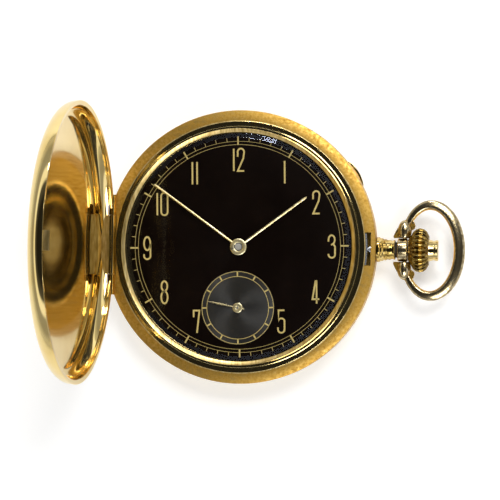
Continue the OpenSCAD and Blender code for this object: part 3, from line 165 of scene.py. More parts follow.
def finish_mesh(obj, sharp_deg=28):
    """Point the faces outwards, shade smooth, and keep real corners sharp."""
    work = bmesh.new()
    work.from_mesh(obj.data)
    bmesh.ops.remove_doubles(work, verts=work.verts, dist=1e-8)
    bmesh.ops.recalc_face_normals(work, faces=work.faces)
    limit = math.radians(sharp_deg)
    for edge in work.edges:
        edge.smooth = len(edge.link_faces) == 2 and edge.calc_face_angle(0) < limit
    for face in work.faces:
        face.smooth = True
    work.to_mesh(obj.data)
    work.free()
    return obj


def curve(cx, cy, rx, ry, start, end, steps=14):
    """Points on an ellipse; angles in degrees from the right, anticlockwise."""
    points = []
    for i in range(steps + 1):
        a = math.radians(start + (end - start) * i / steps)
        points.append((cx + rx * math.cos(a), cy + ry * math.sin(a)))
    return points


def rounded(points, radius, steps=3):
    """Replace each sharp corner of an outline with a small curve, but not where it meets the axis."""
    out = []
    for i, p in enumerate(points):
        p = Vector(p)
        a = Vector(points[i - 1]) - p
        b = Vector(points[(i + 1) % len(points)]) - p
        if a.length < 1e-6 or b.length < 1e-6:
            continue
        turn = math.pi - a.angle(b)
        if turn < SHARP_TURN or p.x == 0:
            out.append(tuple(p))
            continue
        cut = min(radius * math.tan(turn / 2), 0.4 * a.length, 0.4 * b.length)
        start = p + a.normalized() * cut
        end = p + b.normalized() * cut
        for k in range(steps + 1):
            t = k / steps
            out.append(tuple(start * (1 - t) ** 2 + p * 2 * t * (1 - t) + end * t * t))
    return out


print("corners that turn more than", round(math.degrees(SHARP_TURN)), "degrees are rounded")

# %% [markdown]
# ## The lathe
#
# Turning is the same step for every ring, cap and tube, so it is one function. Copies of the
# profile stand round the axis and are joined by four-sided faces. A profile that starts on the
# axis has many corners in one spot there, and these are merged into one.

# %% Turn a profile round an axis
SIDES = 192
FINE_SIDES = 256


def lathe(name, profile, sides=SIDES, axis="Z", center=(0, 0, 0), radial=None, sharp_deg=28):
    """Turn a closed profile of (radius, height) once round an axis.

    radial(angle, radius, height) may give another radius, for flutes and ribs.
    """
    verts, faces = [], []
    rows = len(profile)
    for s in range(sides):
        a = 2 * math.pi * s / sides
        for r, h in profile:
            rr = radial(a, r, h) if radial else r
            c, d = rr * math.cos(a), rr * math.sin(a)
            spot = (c, d, h) if axis == "Z" else (h, c, d)
            verts.append(tuple(spot[k] + center[k] for k in range(3)))
    for s in range(sides):
        n = (s + 1) % sides
        for k in range(rows):
            m = (k + 1) % rows
            faces.append((s * rows + k, s * rows + m, n * rows + m, n * rows + k))
    obj = new_object(name, verts, faces)
    work = bmesh.new()
    work.from_mesh(obj.data)
    bmesh.ops.remove_doubles(work, verts=work.verts, dist=1e-7)
    bmesh.ops.dissolve_degenerate(work, edges=work.edges, dist=1e-8)
    work.to_mesh(obj.data)
    work.free()
    return finish_mesh(obj, sharp_deg)


print("turned pieces have", SIDES, "sides, and the large ones", FINE_SIDES)

# %% [markdown]
# ## Cutting and joining
#
# Slots, notches and holes are milled into a turned blank, and the same order works here: a block
# or a rod is put where metal has to go, and a Boolean modifier takes it away. Modelling each slot
# by hand would mean new faces all round it. Each modifier is applied at once, so that the next
# cut meets a plain mesh.

# %% Blocks, rods and Booleans
def block(name, low, high):
    """A cutting block between two corners, in millimetres."""
    x0, y0, z0 = low
    x1, y1, z1 = high
    verts = [(x, y, z) for x in (x0, x1) for y in (y0, y1) for z in (z0, z1)]
    faces = [(0, 1, 3, 2), (4, 6, 7, 5), (0, 4, 5, 1), (2, 3, 7, 6), (0, 2, 6, 4), (1, 5, 7, 3)]
    return new_object(name, verts, faces)


def rod(name, start, end, radius, sides=48, chamfer=0.0):
    """A straight rod between two points, in millimetres, with broken edges."""
    start, end = Vector(start), Vector(end)
    length = (end - start).length
    turn = (end - start).to_track_quat("Z", "Y")
    profile = [(0, 0), (radius - chamfer, 0), (radius, chamfer), (radius, length - chamfer),
               (radius - chamfer, length), (0, length)]
    obj = lathe(name, profile, sides=sides)
    for v in obj.data.vertices:
        v.co = turn @ v.co + start * MM
    return obj


def combine(obj, others, how="DIFFERENCE"):
    """Cut other objects from obj, or keep only what they share, and remove them."""
    for other in others:
        change = obj.modifiers.new("combine", "BOOLEAN")
        change.operation = how
        change.solver = "EXACT"
        change.object = other
        bpy.context.view_layer.update()
        shaped = bpy.data.meshes.new_from_object(
            obj.evaluated_get(bpy.context.evaluated_depsgraph_get()))
        obj.modifiers.clear()
        obj.data = shaped
        bpy.data.objects.remove(other)
    return finish_mesh(obj)


print("cuts are made with", block.__name__, "and", rod.__name__)

# %% [markdown]
# ## Gold
#
# A gold-plated case has one metal and several finishes: mirror polish inside the lid, a soft
# grain on the shoulder of the band where hands have rubbed it, and fine turned lines on the neck.
# All of them are one Principled shader with Metallic at 1. What differs is the roughness, a
# little noise in the colour, and the direction of the bump, so one function makes them all.

# %% Colours
def linear(value):
    """Light that a screen gives off for a value from 0 to 1."""
    return value / 12.92 if value <= 0.04045 else ((value + 0.055) / 1.055) ** 2.4


def rgb(r, g, b):
    """A colour as seen on a screen, from 0 to 255, as Blender wants it."""
    return (linear(r / 255), linear(g / 255), linear(b / 255), 1)


print("a middle grey is", round(rgb(128, 128, 128)[0], 3), "in linear light")

# %% [markdown]
# ## Nodes from a script
#
# A finish is a small graph of nodes: coordinates feed a noise, the noise feeds colours, and the
# colours feed the shader. It could be drawn in the shader editor, but a script can be read and
# used again. Each helper adds one kind of node and wires it, so a finish reads like a list.

# %% Nodes in one line each
def make_material(name, metallic=1.0, roughness=0.3):
    """A Principled material, and its shader node."""
    material = bpy.data.materials.new(name)
    material.use_nodes = True
    shader = material.node_tree.nodes["Principled BSDF"]
    shader.inputs["Metallic"].default_value = metallic
    shader.inputs["Roughness"].default_value = roughness
    return material, shader


def add(owner, kind, **inputs):
    """A new node of a material or a world, with its sockets set by name."""
    node = owner.node_tree.nodes.new(kind)
    for key, value in inputs.items():
        node.inputs[key.replace("_", " ")].default_value = value
    return node


def link(owner, out_socket, in_socket):
    owner.node_tree.links.new(out_socket, in_socket)


def place(material, scale=(1, 1, 1)):
    """Object coordinates in millimetres, stretched by scale."""
    coords = add(material, "ShaderNodeTexCoord")
    stretch = add(material, "ShaderNodeMapping", Scale=[s / MM for s in scale])
    link(material, coords.outputs["Object"], stretch.inputs["Vector"])
    return stretch.outputs["Vector"]


def noise(material, vector, scale=1.0, detail=3.0, roughness=0.5):
    """A soft random value from 0 to 1 that changes over the surface."""
    node = add(material, "ShaderNodeTexNoise", Scale=scale, Detail=detail, Roughness=roughness)
    link(material, vector, node.inputs["Vector"])
    return node.outputs["Fac"]


def ramp(owner, fac, stops):
    """Colours along a 0 to 1 value: stops are (place, colour)."""
    node = add(owner, "ShaderNodeValToRGB")
    elements = node.color_ramp.elements
    elements[0].position, elements[0].color = stops[0]
    elements[1].position, elements[1].color = stops[-1]
    for position, colour in stops[1:-1]:
        element = elements.new(position)
        element.color = colour
    link(owner, fac, node.inputs["Fac"])
    return node.outputs["Color"]


def grey(value):
    return (value, value, value, 1)


def mix_to_output(owner, factor, first, second, output="Material Output"):
    """Show the first shader where factor is 0 and the second where it is 1."""
    node = add(owner, "ShaderNodeMixShader")
    for place_in, source in enumerate((factor, first, second)):
        link(owner, source, node.inputs[place_in])
    link(owner, node.outputs[0], owner.node_tree.nodes[output].inputs["Surface"])


def bump(material, shader, height, strength, distance_mm):
    """Let a height from 0 to 1 tilt the light as dents of distance_mm would."""
    node = add(material, "ShaderNodeBump", Strength=strength, Distance=distance_mm * MM)
    link(material, height, node.inputs["Height"])
    link(material, node.outputs["Normal"], shader.inputs["Normal"])


print("node helpers:", add.__name__, link.__name__, ramp.__name__, bump.__name__, mix_to_output.__name__)

# %% [markdown]
# ## Finishes that wander
#
# No real surface has one even colour. Gold plate thins where it is touched and dulls where sweat
# dries, so tone and gloss change together over a few millimetres. One soft noise drives both, and
# a finer one makes the grain. Lacquer and print get by with two tones and no grain.

# %% Worn and two-toned finishes
def coat(piece, *finishes):
    """Give a piece these materials and no others."""
    piece.data.materials.clear()
    for finish in finishes:
        piece.data.materials.append(finish)


def wear(name, base, deep, pale, roughness, grain, blotch, bump_mm, strength):
    """Metal whose colour wanders between three tones and whose gloss wanders with it."""
    material, shader = make_material(name, roughness=roughness)
    spots = noise(material, place(material), scale=blotch, detail=6.0, roughness=0.65)
    colour = ramp(material, spots, [(0.3, rgb(*deep)), (0.5, rgb(*base)), (0.72, rgb(*pale))])
    link(material, colour, shader.inputs["Base Color"])
    gloss = ramp(material, spots, [(0.3, grey(roughness * 1.5)), (0.7, grey(roughness * 0.8))])
    link(material, gloss, shader.inputs["Roughness"])
    fine = noise(material, place(material), scale=grain, detail=4.0, roughness=0.6)
    bump(material, shader, fine, strength, bump_mm)
    return material


def two_tone(name, dark, light, scale, metallic=0.0, roughness=0.5):
    """A finish that wanders between two colours, each given as (place on the ramp, colour)."""
    material, shader = make_material(name, metallic, roughness)
    spots = noise(material, place(material), scale=scale)
    stops = [(at, rgb(*colour)) for at, colour in (dark, light)]
    link(material, ramp(material, spots, stops), shader.inputs["Base Color"])
    return material, shader


print("two ways to finish a piece:", wear.__name__, "and", two_tone.__name__)

# %% [markdown]
# ## The golds
#
# Each part of the case has been handled in its own way. The lid's inside is a mirror, the shoulder
# is satin from pockets, and the bow is rubbed pale. The crown's gold is darker, as painted shade in
# its flutes, and the bow's inner edge a warmer gold, as painted reflection. A near-black finish
# paints shade into the neck's groove and the catch slot.
# One gold everywhere would look like plastic, so each has its own three tones and its own gloss.
# The top of the bezel is brushed: its strokes are a noise stretched along one direction.

# %% The golds
mirror_gold = wear("mirror_gold", (226, 202, 138), (220, 192, 122), (232, 210, 150),
                   roughness=0.05, grain=3, blotch=0.1, bump_mm=0.001, strength=0.04)
bezel_gold = wear("bezel_gold", (220, 198, 136), (180, 156, 96), (236, 218, 170),
                  roughness=0.09, grain=4, blotch=1.2, bump_mm=0.008, strength=0.16)
shoulder_gold = wear("shoulder_gold", (188, 148, 68), (160, 121, 48), (208, 172, 96),
                     roughness=0.36, grain=3, blotch=1.6, bump_mm=0.02, strength=0.3)
neck_gold = wear("neck_gold", (200, 168, 92), (140, 106, 40), (230, 208, 150),
                 roughness=0.09, grain=4, blotch=0.9, bump_mm=0.004, strength=0.12)
# The crown's gold is darker than the neck's all over: painted shade for its flutes.
crown_gold = wear("crown_gold", (138, 112, 52), (74, 56, 16), (208, 184, 116),
                  roughness=0.13, grain=5, blotch=1.6, bump_mm=0.01, strength=0.25)
bow_gold = wear("bow_gold", (184, 166, 126), (104, 88, 58), (228, 218, 192),
                roughness=0.17, grain=5, blotch=2.0, bump_mm=0.016, strength=0.35)
# A warmer, brighter gold: painted reflection on the bow's inner edge, painted light on its ears.
edge_gold = wear("edge_gold", (224, 176, 74), (176, 126, 34), (240, 208, 120),
                 roughness=0.25, grain=5, blotch=1.8, bump_mm=0.01, strength=0.3)
brushed_gold, brushed_shader = make_material("brushed_gold", roughness=0.3)
strokes = noise(brushed_gold, place(brushed_gold, (3.2, 0.5, 0.5)), scale=1.0, detail=4.0)
brushed_tones = [(0.3, rgb(164, 136, 78)), (0.5, rgb(196, 170, 110)), (0.7, rgb(220, 198, 142))]
link(brushed_gold, ramp(brushed_gold, strokes, brushed_tones), brushed_shader.inputs["Base Color"])
bump(brushed_gold, brushed_shader, strokes, 0.3, 0.01)
# Near-black finish for the neck's groove and the catch slot: painted shade.
grime = two_tone("grime", (0.35, (16, 12, 8)), (0.65, (52, 38, 16)), 2.5, metallic=0.2, roughness=0.7)[0]
print("finishes so far:", [m.name for m in bpy.data.materials])

# %% [markdown]
# ## The front lid
#
# The lid is a shallow bowl stamped from sheet, with a domed top and a rounded shoulder. It could
# be cut from a sphere, but a hunter lid is flatter in the middle than at its edge, so the profile
# joins a shallow dome to a quarter ellipse. It is made shut, in the place where it closes, then
# cut out round the hinge and swung open about the hinge pin by the angle it has in the frame.

# %% Lid sizes and curves
def arc(r0, z0, r1, z1, steps):
    """Quarter of an ellipse from its crown (r0, z0) to its side (r1, z1)."""
    return curve(r0, z1, r1 - r0, z0 - z1, 90, 0, steps)


def dome(edge_r, edge_z, rise, steps):
    """A shallow dome from its centre out to its edge."""
    ball = (edge_r ** 2 + rise ** 2) / (2 * rise)
    points = []
    for i in range(steps + 1):
        r = edge_r * i / steps
        points.append((r, edge_z + rise - (ball - math.sqrt(ball ** 2 - r ** 2))))
    return points


LID_OPEN = math.radians(-joints["front_lid_hinge"]["range_deg"][0])
COVER_GAP = 0.05
DOME_STEPS, SHOULDER_STEPS = 30, 20
tube_x, hinge_z = lid_hinge[0], lid_hinge[2]
band_z1 = hinge_z - 0.35
band_z0 = back_hinge[2] + 1
lid_r = case_r - 0.2
lid_t = 0.6
lid_in_r = lid_r - lid_t - 0.05
lid_shoulder_r = lid_r - 3
lid_edge_z = hinge_z + 0.3
lid_rim_z = band_z1 + 0.03 + COVER_GAP
lid_dome_z = glass_top + lid_t - 0.65
lid_rise = 1.1
print("lid radius", round(lid_r, 2), "mm, wall", lid_t, "mm")

# %% [markdown]
# ## The bowl of the lid
#
# The outside and the inside of the lid are the same curve, one wall apart, and meet at the rim. A
# Solidify modifier could add the wall, but here the rim has a slope of its own, so both curves
# are written out and turned together. The notch lets the tubes of the hinge stand free.

# %% Turn the lid and cut it round the hinge
knuckle_r = 0.65
notch_y = 9.35

outer = dome(lid_shoulder_r, lid_dome_z, lid_rise, DOME_STEPS)
outer += arc(lid_shoulder_r, lid_dome_z, lid_r, lid_edge_z, SHOULDER_STEPS)[1:]
inner = dome(lid_shoulder_r, lid_dome_z - lid_t, lid_rise, DOME_STEPS)
inner += arc(lid_shoulder_r, lid_dome_z - lid_t, lid_in_r, lid_edge_z, SHOULDER_STEPS)[1:]
rim = [(lid_r, lid_rim_z), (lid_in_r - 0.2, lid_rim_z + 0.13), (lid_in_r - 0.2, lid_edge_z - 0.15)]
front_lid = lathe("front_lid", rounded(outer + rim + inner[::-1], 0.08), sides=FINE_SIDES)
front_lid = combine(front_lid, [
    block("notch", (-case_r - 1, -notch_y, 0), (-case_r + 2, notch_y, hinge_z + knuckle_r + 0.15)),
    block("relief", (-case_r - 1, -notch_y, 0), (tube_x - knuckle_r, notch_y, hinge_z + 1.5)),
])
print("front lid has", len(front_lid.data.polygons), "faces")

# %% [markdown]
# ## The lid's knuckle and catch
#
# The lid turns on one tube in the middle of the hinge, brazed to it by a lug. Across from the
# hinge a lip hooks under a spring catch, and the button lets it go. Both are small, so each starts
# too large and is trimmed with a Boolean: the lug by the curve of the lid, so that no gap shows,
# and the lip by a block of its width. All four pieces then swing open together.

# %% Knuckle, lug and catch lip
lug_y = 5.35
CATCH_HALF = 1.7


def hinge_rod(name, y0, y1, z, radius, chamfer=0.0):
    """A rod on the hinge line, from y0 to y1 at height z."""
    return rod(name, (tube_x, y0, z), (tube_x, y1, z), radius, chamfer=chamfer)


lid_knuckle = hinge_rod("lid_knuckle", -lug_y, lug_y, hinge_z, knuckle_r, chamfer=0.06)
lug = block("lid_lug", (tube_x - knuckle_r, -lug_y, hinge_z),
            (tube_x + knuckle_r - 0.2, lug_y, hinge_z + 1.9))
lug_fill = lathe("lug_fill", [(0, 0), (lid_r, 0)] + outer[::-1], sides=FINE_SIDES)
lug = combine(lug, [lug_fill], "INTERSECT")
catch_z = band_z1 - 0.65
catch_lip = lathe("catch_lip", rounded([
    (case_r - 1.5, catch_z - 0.1), (case_r - 1.7, catch_z - 0.1), (case_r - 1.7, catch_z + 0.2),
    (case_r - 1.5, catch_z + 0.3), (case_r - 1.5, lid_edge_z - 0.15), (lid_in_r - 0.1, lid_edge_z - 0.15),
    (lid_in_r - 0.1, lid_rim_z + 0.2), (case_r - 1.1, lid_rim_z + 0.14), (case_r - 1.1, catch_z - 0.1),
], 0.05), sides=FINE_SIDES)
lip_cut = block("lip_cut", (0, -CATCH_HALF, 0), (case_r, CATCH_HALF, 20))
catch_lip = combine(catch_lip, [lip_cut], "INTERSECT")

swing = (Matrix.Translation(Vector(lid_hinge) * MM) @ Matrix.Rotation(-LID_OPEN, 4, "Y")
         @ Matrix.Translation(-Vector(lid_hinge) * MM))
for piece in (front_lid, lid_knuckle, lug, catch_lip):
    piece.data.transform(swing)
    coat(piece, brushed_gold if piece in (lug, catch_lip) else mirror_gold)
    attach(piece, "front_lid")
    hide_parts("front_lid")
print("front lid opens", round(math.degrees(LID_OPEN)), "degrees")

# %% [markdown]
# ## The band
#
# The band carries everything. Its shoulder slopes up from the outer wall to the bezel and takes
# the lid's rim. It is one turned ring with a slot for the catch, a seat for the neck, and notches
# where the hinge tubes lie. Rings are turned first and cut after, as on the real bench. The faces
# of the catch slot take a second, near-black material: painted shade.

# %% Case band
SEAT_W = 1.85
LOWER_TUBE_Y = 7.15
BACK_LUG_Y = 4.4
CATCH_SLOT = (-2.95, 3.05)
NECK_HOLE_R = 1.11
seat_r = case_r - SEAT_W
lip_r = case_r - 3
seat_z = band_z1 + SEAT_W * 0.15
back_seat_z = band_z0 - SEAT_W * 0.5
band_outline = [
    (case_r, band_z0), (case_r, band_z1), (seat_r, seat_z), (lip_r, seat_z), (lip_r, dial_top - 0.1),
    (case_r - 3.55, dial_top - 0.1), (case_r - 3.55, catch_z + 0.55), (case_r - 3.95, catch_z + 0.55),
    (case_r - 3.95, catch_z + 0.25), (case_r - 1, catch_z + 0.25), (case_r - 1, band_z0 - 0.2),
    (case_r - 2.6, band_z0 - 0.2), (case_r - 2.6, back_seat_z), (seat_r, back_seat_z),
]
case_band = lathe("case_band", rounded(band_outline, 0.12), sides=FINE_SIDES)
clear_r = knuckle_r + 0.08
case_band = combine(case_band, [
    hinge_rod("lid_clear", -lug_y - 0.1, lug_y + 0.1, hinge_z, clear_r),
    block("lid_clear_box", (-case_r - 1, -lug_y - 0.1, hinge_z - 0.8), (tube_x + 0.75, lug_y + 0.1, 12)),
    hinge_rod("back_clear", -LOWER_TUBE_Y, LOWER_TUBE_Y, back_hinge[2], clear_r),
    block("back_clear_box", (-case_r - 1, -BACK_LUG_Y - 0.1, -1),
          (tube_x + 0.75, BACK_LUG_Y + 0.1, back_hinge[2] + 0.8)),
    block("catch_slot", (lip_r + 0.03, CATCH_SLOT[0], catch_z + 0.15),
          (case_r - 0.95, CATCH_SLOT[1], dial_top + 1)),
    rod("neck_hole", (case_r - 1.5, 0, stem_z), (case_r + 1, 0, stem_z), NECK_HOLE_R),
])
coat(case_band, shoulder_gold, grime)
# Faces in the catch slot take the near-black finish: painted shade.
for face in case_band.data.polygons:
    x, y, z = face.center / MM
    if lip_r < x < case_r - 0.9 and abs(y) < 3.1 and catch_z - 0.5 < z < seat_z - 0.05:
        face.material_index = 1
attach(case_band, "watch")
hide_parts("case_band")
print("band", round(band_z0, 2), "to", round(band_z1, 2), "mm high")

# %% [markdown]
# ## The hinge tubes
#
# Each hinge is a row of tubes on one pin. The outer tubes belong to the band and the middle one to
# its lid. On the real case they are brazed into a groove, so each gets a small seat of band metal
# between it and the wall. Without the seat a tube would seem to float in its notch.

# %% Hinge tubes and their seats
UPPER_TUBE_Y = 5.45
TUBE_END_Y = 9.2

for side in (-1, 1):
    for hinge, start, foot in ((lid_hinge, UPPER_TUBE_Y, band_z1 - 0.5),
                               (back_hinge, LOWER_TUBE_Y, band_z0 + 0.3)):
        word = "upper" if hinge is lid_hinge else "lower"
        letter = "a" if side > 0 else "b"
        tube = hinge_rod(f"hinge_tube_{word}_{letter}", side * start, side * TUBE_END_Y, hinge[2],
                         knuckle_r, chamfer=0.06)
        coat(tube, neck_gold)
        low_z, high_z = sorted((foot, hinge[2]))
        low_y, high_y = sorted((side * start, side * TUBE_END_Y))
        seat = block(f"hinge_seat_{word}_{letter}", (tube_x - knuckle_r + 0.1, low_y, low_z),
                     (tube_x + knuckle_r, high_y, high_z))
        inside_case = lathe("disc", [(0, -1), (case_r, -1), (case_r, 20), (0, 20)])
        seat = combine(seat, [inside_case], "INTERSECT")
        coat(seat, shoulder_gold)
        for piece in (tube, seat):
            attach(piece, "watch")
            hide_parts("case_band")
print("hinge tubes start", UPPER_TUBE_Y, "and", LOWER_TUBE_Y, "mm from the middle")

# %% [markdown]
# ## The bezel
#
# The bezel snaps over the lip of the band. Its outside is a hollow curve, a cove, that mirrors a
# dark line between two bright ones, and its top slopes in to the glass. A torus would bulge the
# wrong way, so the cove is a quarter of a squarish ellipse drawn from outside. Its top slope and
# its foot are brushed, and only the cove is bright.

# %% Bezel
cove_h = 2.17
cove_w = 1.4
COVE_BEND = 0.42
COVE_STEPS = 24
cove = []
for i in range(COVE_STEPS + 1):
    a = math.pi / 2 * i / COVE_STEPS
    cove.append((bezel_r - cove_w * math.sin(a) ** COVE_BEND, bezel_top - cove_h * math.cos(a) ** COVE_BEND))
glass_open_r = glass_r - 0.7
glass_edge = bezel_top - 0.5
bezel_outline = [(lip_r + 0.05, bezel_z), (bezel_r + 0.18, bezel_z), (bezel_r + 0.18, bezel_z + 0.02)]
bezel_outline += cove + [
    (glass_open_r, glass_edge + 0.08), (glass_r + 0.03, glass_edge + 0.03),
    (glass_r + 0.03, glass_edge - 0.62), (glass_open_r, glass_edge - 0.7),
    (glass_open_r, dial_top + 0.05), (lip_r + 0.05, dial_top + 0.05),
]
bezel = lathe("bezel", rounded(bezel_outline, 0.07), sides=FINE_SIDES)
coat(bezel, bezel_gold, brushed_gold)
for face in bezel.data.polygons:
    r = math.hypot(face.center.x, face.center.y) / MM
    on_chamfer = r < bezel_r - cove_w + 0.02 and face.center.z / MM > glass_edge
    on_foot = r > bezel_r + 0.01
    if on_chamfer or on_foot:
        face.material_index = 1
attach(bezel, "watch")
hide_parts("bezel")
print("bezel top", round(bezel_top, 2), "mm, opening", round(2 * glass_open_r, 1), "mm wide")

# %% [markdown]
# ## Clear glass
#
# The glass is a thin dome over the dial. Thin glass hardly bends light, so a clear shader with a
# Fresnel gloss is enough and stays free of noise. The gloss is kept to the side that faces out,
# because unbent rays would meet the inner side at angles at which it mirrors everything, and the
# dial would vanish in a low view.

# %% Glass material
clear_glass = bpy.data.materials.new("clear_glass")
clear_glass.use_nodes = True
nodes = clear_glass.node_tree.nodes
nodes.remove(nodes["Principled BSDF"])
clear = add(clear_glass, "ShaderNodeBsdfTransparent")
gloss = add(clear_glass, "ShaderNodeBsdfAnisotropic", Color=(0.26, 0.29, 0.36, 1), Roughness=0.03)
grazing = add(clear_glass, "ShaderNodeFresnel", IOR=1.5)
facing = add(clear_glass, "ShaderNodeNewGeometry")
outer_side = add(clear_glass, "ShaderNodeMath")
outer_side.operation = "SUBTRACT"
outer_side.inputs[0].default_value = 1
link(clear_glass, facing.outputs["Backfacing"], outer_side.inputs[1])
mirroring = add(clear_glass, "ShaderNodeMath")
mirroring.operation = "MULTIPLY"
link(clear_glass, grazing.outputs[0], mirroring.inputs[0])
link(clear_glass, outer_side.outputs[0], mirroring.inputs[1])
mix_to_output(clear_glass, mirroring.outputs[0], clear.outputs[0], gloss.outputs[0])
print("glass mirrors by", len(nodes), "nodes")

# %% [markdown]
# ## The watch glass
#
# A hunter's glass is low, so that the lid can shut over it, and a flat bevel round its edge shows
# as a grey ring. A scaled sphere would have no bevel, so the profile is a shallow dome joined to
# a straight slope, once outside and once inside, and is turned like the metal pieces.

# %% Watch glass
glass_t = 0.6
bevel_w = 0.9
BEVEL_STEPS = 8
bevel_r = glass_open_r - 0.05 - bevel_w
bevel_z = glass_edge + bevel_w * math.tan(math.radians(29))


def bevelled_dome(lift, inset):
    """The dome and the flat bevel that runs round its edge, from the middle outwards."""
    bevel = []
    for i in range(1, BEVEL_STEPS + 1):
        down = (glass_edge - bevel_z) * i / BEVEL_STEPS
        bevel.append((bevel_r - inset + bevel_w * i / BEVEL_STEPS, bevel_z + lift + down))
    return dome(bevel_r - inset, bevel_z + lift, glass_top - bevel_z, 20) + bevel


glass_outline = bevelled_dome(0, 0) + [(glass_r, glass_edge - 0.05), (glass_r, glass_edge - glass_t)]
glass_outline += bevelled_dome(-glass_t, 0.3)[::-1]
watch_glass = lathe("watch_glass", rounded(glass_outline, 0.05))
coat(watch_glass, clear_glass)
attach(watch_glass, "watch")
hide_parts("watch_glass")
print("glass rises to", round(glass_top, 2), "mm")

# %% [markdown]
# ## The dial
#
# The dial is a black lacquered disc on two feet, with a hole in its middle for the hands and a
# round well for the small seconds. The well is milled out of the disc, so that its edge catches a
# thin line of light. The lacquer is nearly black with a hint of brown, and barely shines, because
# the glass over it already does.

# %% Dial disc
black_lacquer, lacquer_shader = two_tone("black_lacquer", (0.3, (8, 3, 1)), (0.7, (14, 7, 4)), 0.2,
                                         roughness=0.35)
lacquer_shader.inputs["Specular IOR Level"].default_value = 0.06
DIAL_HOLE_R = 1.3
DIAL_FOOT_AT = 20.2
SECONDS_HOLE_R = 0.5
sub_r = 6.75
sub_floor = dial_top - 0.15
dial_z = dial_top - 0.4
dial_outline = [(DIAL_HOLE_R, dial_z), (dial_r, dial_z), (dial_r, dial_top), (DIAL_HOLE_R, dial_top)]
dial_disc = lathe("dial", rounded(dial_outline, 0.04))
over_seconds = (*seconds_at, dial_top + 1)
well = rod("well", (*seconds_at, sub_floor), over_seconds, sub_r, sides=128)
hole = rod("hole", (*seconds_at, 0), over_seconds, SECONDS_HOLE_R, sides=32)
dial_pieces = [combine(dial_disc, [well, hole])]
for angle in (45, 225):
    a = math.radians(angle)
    x, y = DIAL_FOOT_AT * math.cos(a), DIAL_FOOT_AT * math.sin(a)
    dial_pieces.append(rod(f"dial_foot_{angle}", (x, y, dial_low[2]), (x, y, dial_z), 0.43, chamfer=0.05))
for piece in dial_pieces:
    coat(piece, black_lacquer)
    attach(piece, "watch")
    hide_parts("dial")
print("dial radius", round(dial_r, 2), "mm, on", len(dial_pieces) - 1, "feet")

# %% [markdown]
# ## A pen for the print
#
# Dial print is ink pressed on by a soft pad, a little proud of the lacquer. It could be painted
# with a texture, but images are not used here, and thin raised strips stay crisp at any distance.
# Every mark is a line drawn with a pen of constant width, so one ribbon function makes them all.

# %% Ribbons of ink
gilt_print = two_tone("gilt_print", (0.35, (184, 162, 90)), (0.7, (196, 178, 116)), 3.0)[0]
PRINT_T = 0.015


def ribbon(points, width, z, closed=False):
    """Vertices and faces of a flat strip of constant width along a line."""
    count = len(points)
    left, right = [], []
    for i, p in enumerate(points):
        p = Vector(p)
        before = Vector(points[i - 1]) if (i or closed) else None
        after = Vector(points[(i + 1) % count]) if (i < count - 1 or closed) else None
        d1 = (p - before).normalized() if before is not None else (after - p).normalized()
        d2 = (after - p).normalized() if after is not None else d1
        n1, n2 = Vector((-d1.y, d1.x)), Vector((-d2.y, d2.x))
        mid = (n1 + n2).normalized()
        reach = width / 2 / max(0.5, mid.dot(n1))
        left.append(p + mid * reach)
        right.append(p - mid * reach)
    verts = []
    for height in (z, z + PRINT_T):
        verts += [(v.x, v.y, height) for v in left] + [(v.x, v.y, height) for v in right]
    faces = []
    for i in range(count if closed else count - 1):
        n = (i + 1) % count
        faces.append((2 * count + i, 3 * count + i, 3 * count + n, 2 * count + n))
        faces.append((i, n, count + n, count + i))
        faces.append((i, 2 * count + i, 2 * count + n, n))
        faces.append((count + i, count + n, 3 * count + n, 3 * count + i))
    if not closed:
        e = count - 1
        faces.append((0, count, 3 * count, 2 * count))
        faces.append((e, 2 * count + e, 3 * count + e, count + e))
    return verts, faces


def join_strips(name, strips, material, body):
    """One object out of many ribbons."""
    verts, faces = [], []
    for more_verts, more_faces in strips:
        start = len(verts)
        verts += more_verts
        faces += [tuple(start + i for i in f) for f in more_faces]
    obj = new_object(name, verts, faces)
    coat(obj, material)
    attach(obj, body)


print("ink stands", PRINT_T, "mm proud")

# %% [markdown]
# ## Shapes of the numerals
#
# The numerals are tall and narrow, and all their strokes are equally thick. A font would be the
# quick way, but a font brings its own proportions. Here each sign is a list of centre lines in a
# box of the right size. There is no 6, because the seconds dial sits in its place.

# %% Centre lines of the signs
def digit_lines(sign, w, h):
    """Centre lines of a numeral in a box w wide and h high, standing on its lower edge."""
    half = w / 2
    if sign == "1":
        return [([(half, 0), (half, h)], False)]
    if sign == "0":
        return [(curve(half, h - half, half, half, 0, 180) + curve(half, half, half, half, 180, 360), True)]
    if sign == "2":
        hook = curve(half, h - half * 1.1, half, half * 1.1, 200, -18)
        return [([(0, h * 0.64)] + hook + [(w * 0.86, h * 0.56), (0, 0), (w, 0)], False)]
    if sign == "3":
        top = curve(half, h * 0.8, half * 0.95, h * 0.2, 190, -55)
        low = curve(half, half, half, half, 0, -190)
        return [([(0, h * 0.72)] + top[1:] + [(half * 0.85, h * 0.57)], False),
                ([(half * 1.55, h * 0.59), (w, h * 0.5)] + low, False)]
    if sign == "4":
        return [([(w * 0.64, 0), (w * 0.64, h), (w * 0.5, h), (0, h * 0.2), (w * 1.05, h * 0.2)], False)]
    if sign == "5":
        bowl = curve(half, h * 0.52, half, h * 0.12, 140, 0, 8)
        low = curve(half, half, half, half, 0, -180)
        return [([(w, h), (w * 0.1, h), (w * 0.1, h * 0.54)] + bowl + low + [(0, h * 0.24)], False)]
    if sign == "7":
        return [([(0, h * 0.7), (0, h), (w * 0.9, h), (w * 0.5, 0)], False)]
    if sign == "8":
        top = curve(half, h * 0.78, half * 0.92, h * 0.22, -60, 240)
        low = curve(half, h * 0.28, half, h * 0.28, 118, -238)
        return [(top + low, True)]
    if sign == "9":
        loop = curve(half, h * 0.7, half, h * 0.3, -5, 355)
        tail = curve(half, half, half, half, 0, -185)
        return [(loop[:-1], True), ([(w, h * 0.68)] + tail + [(0, h * 0.22)], False)]
    return []


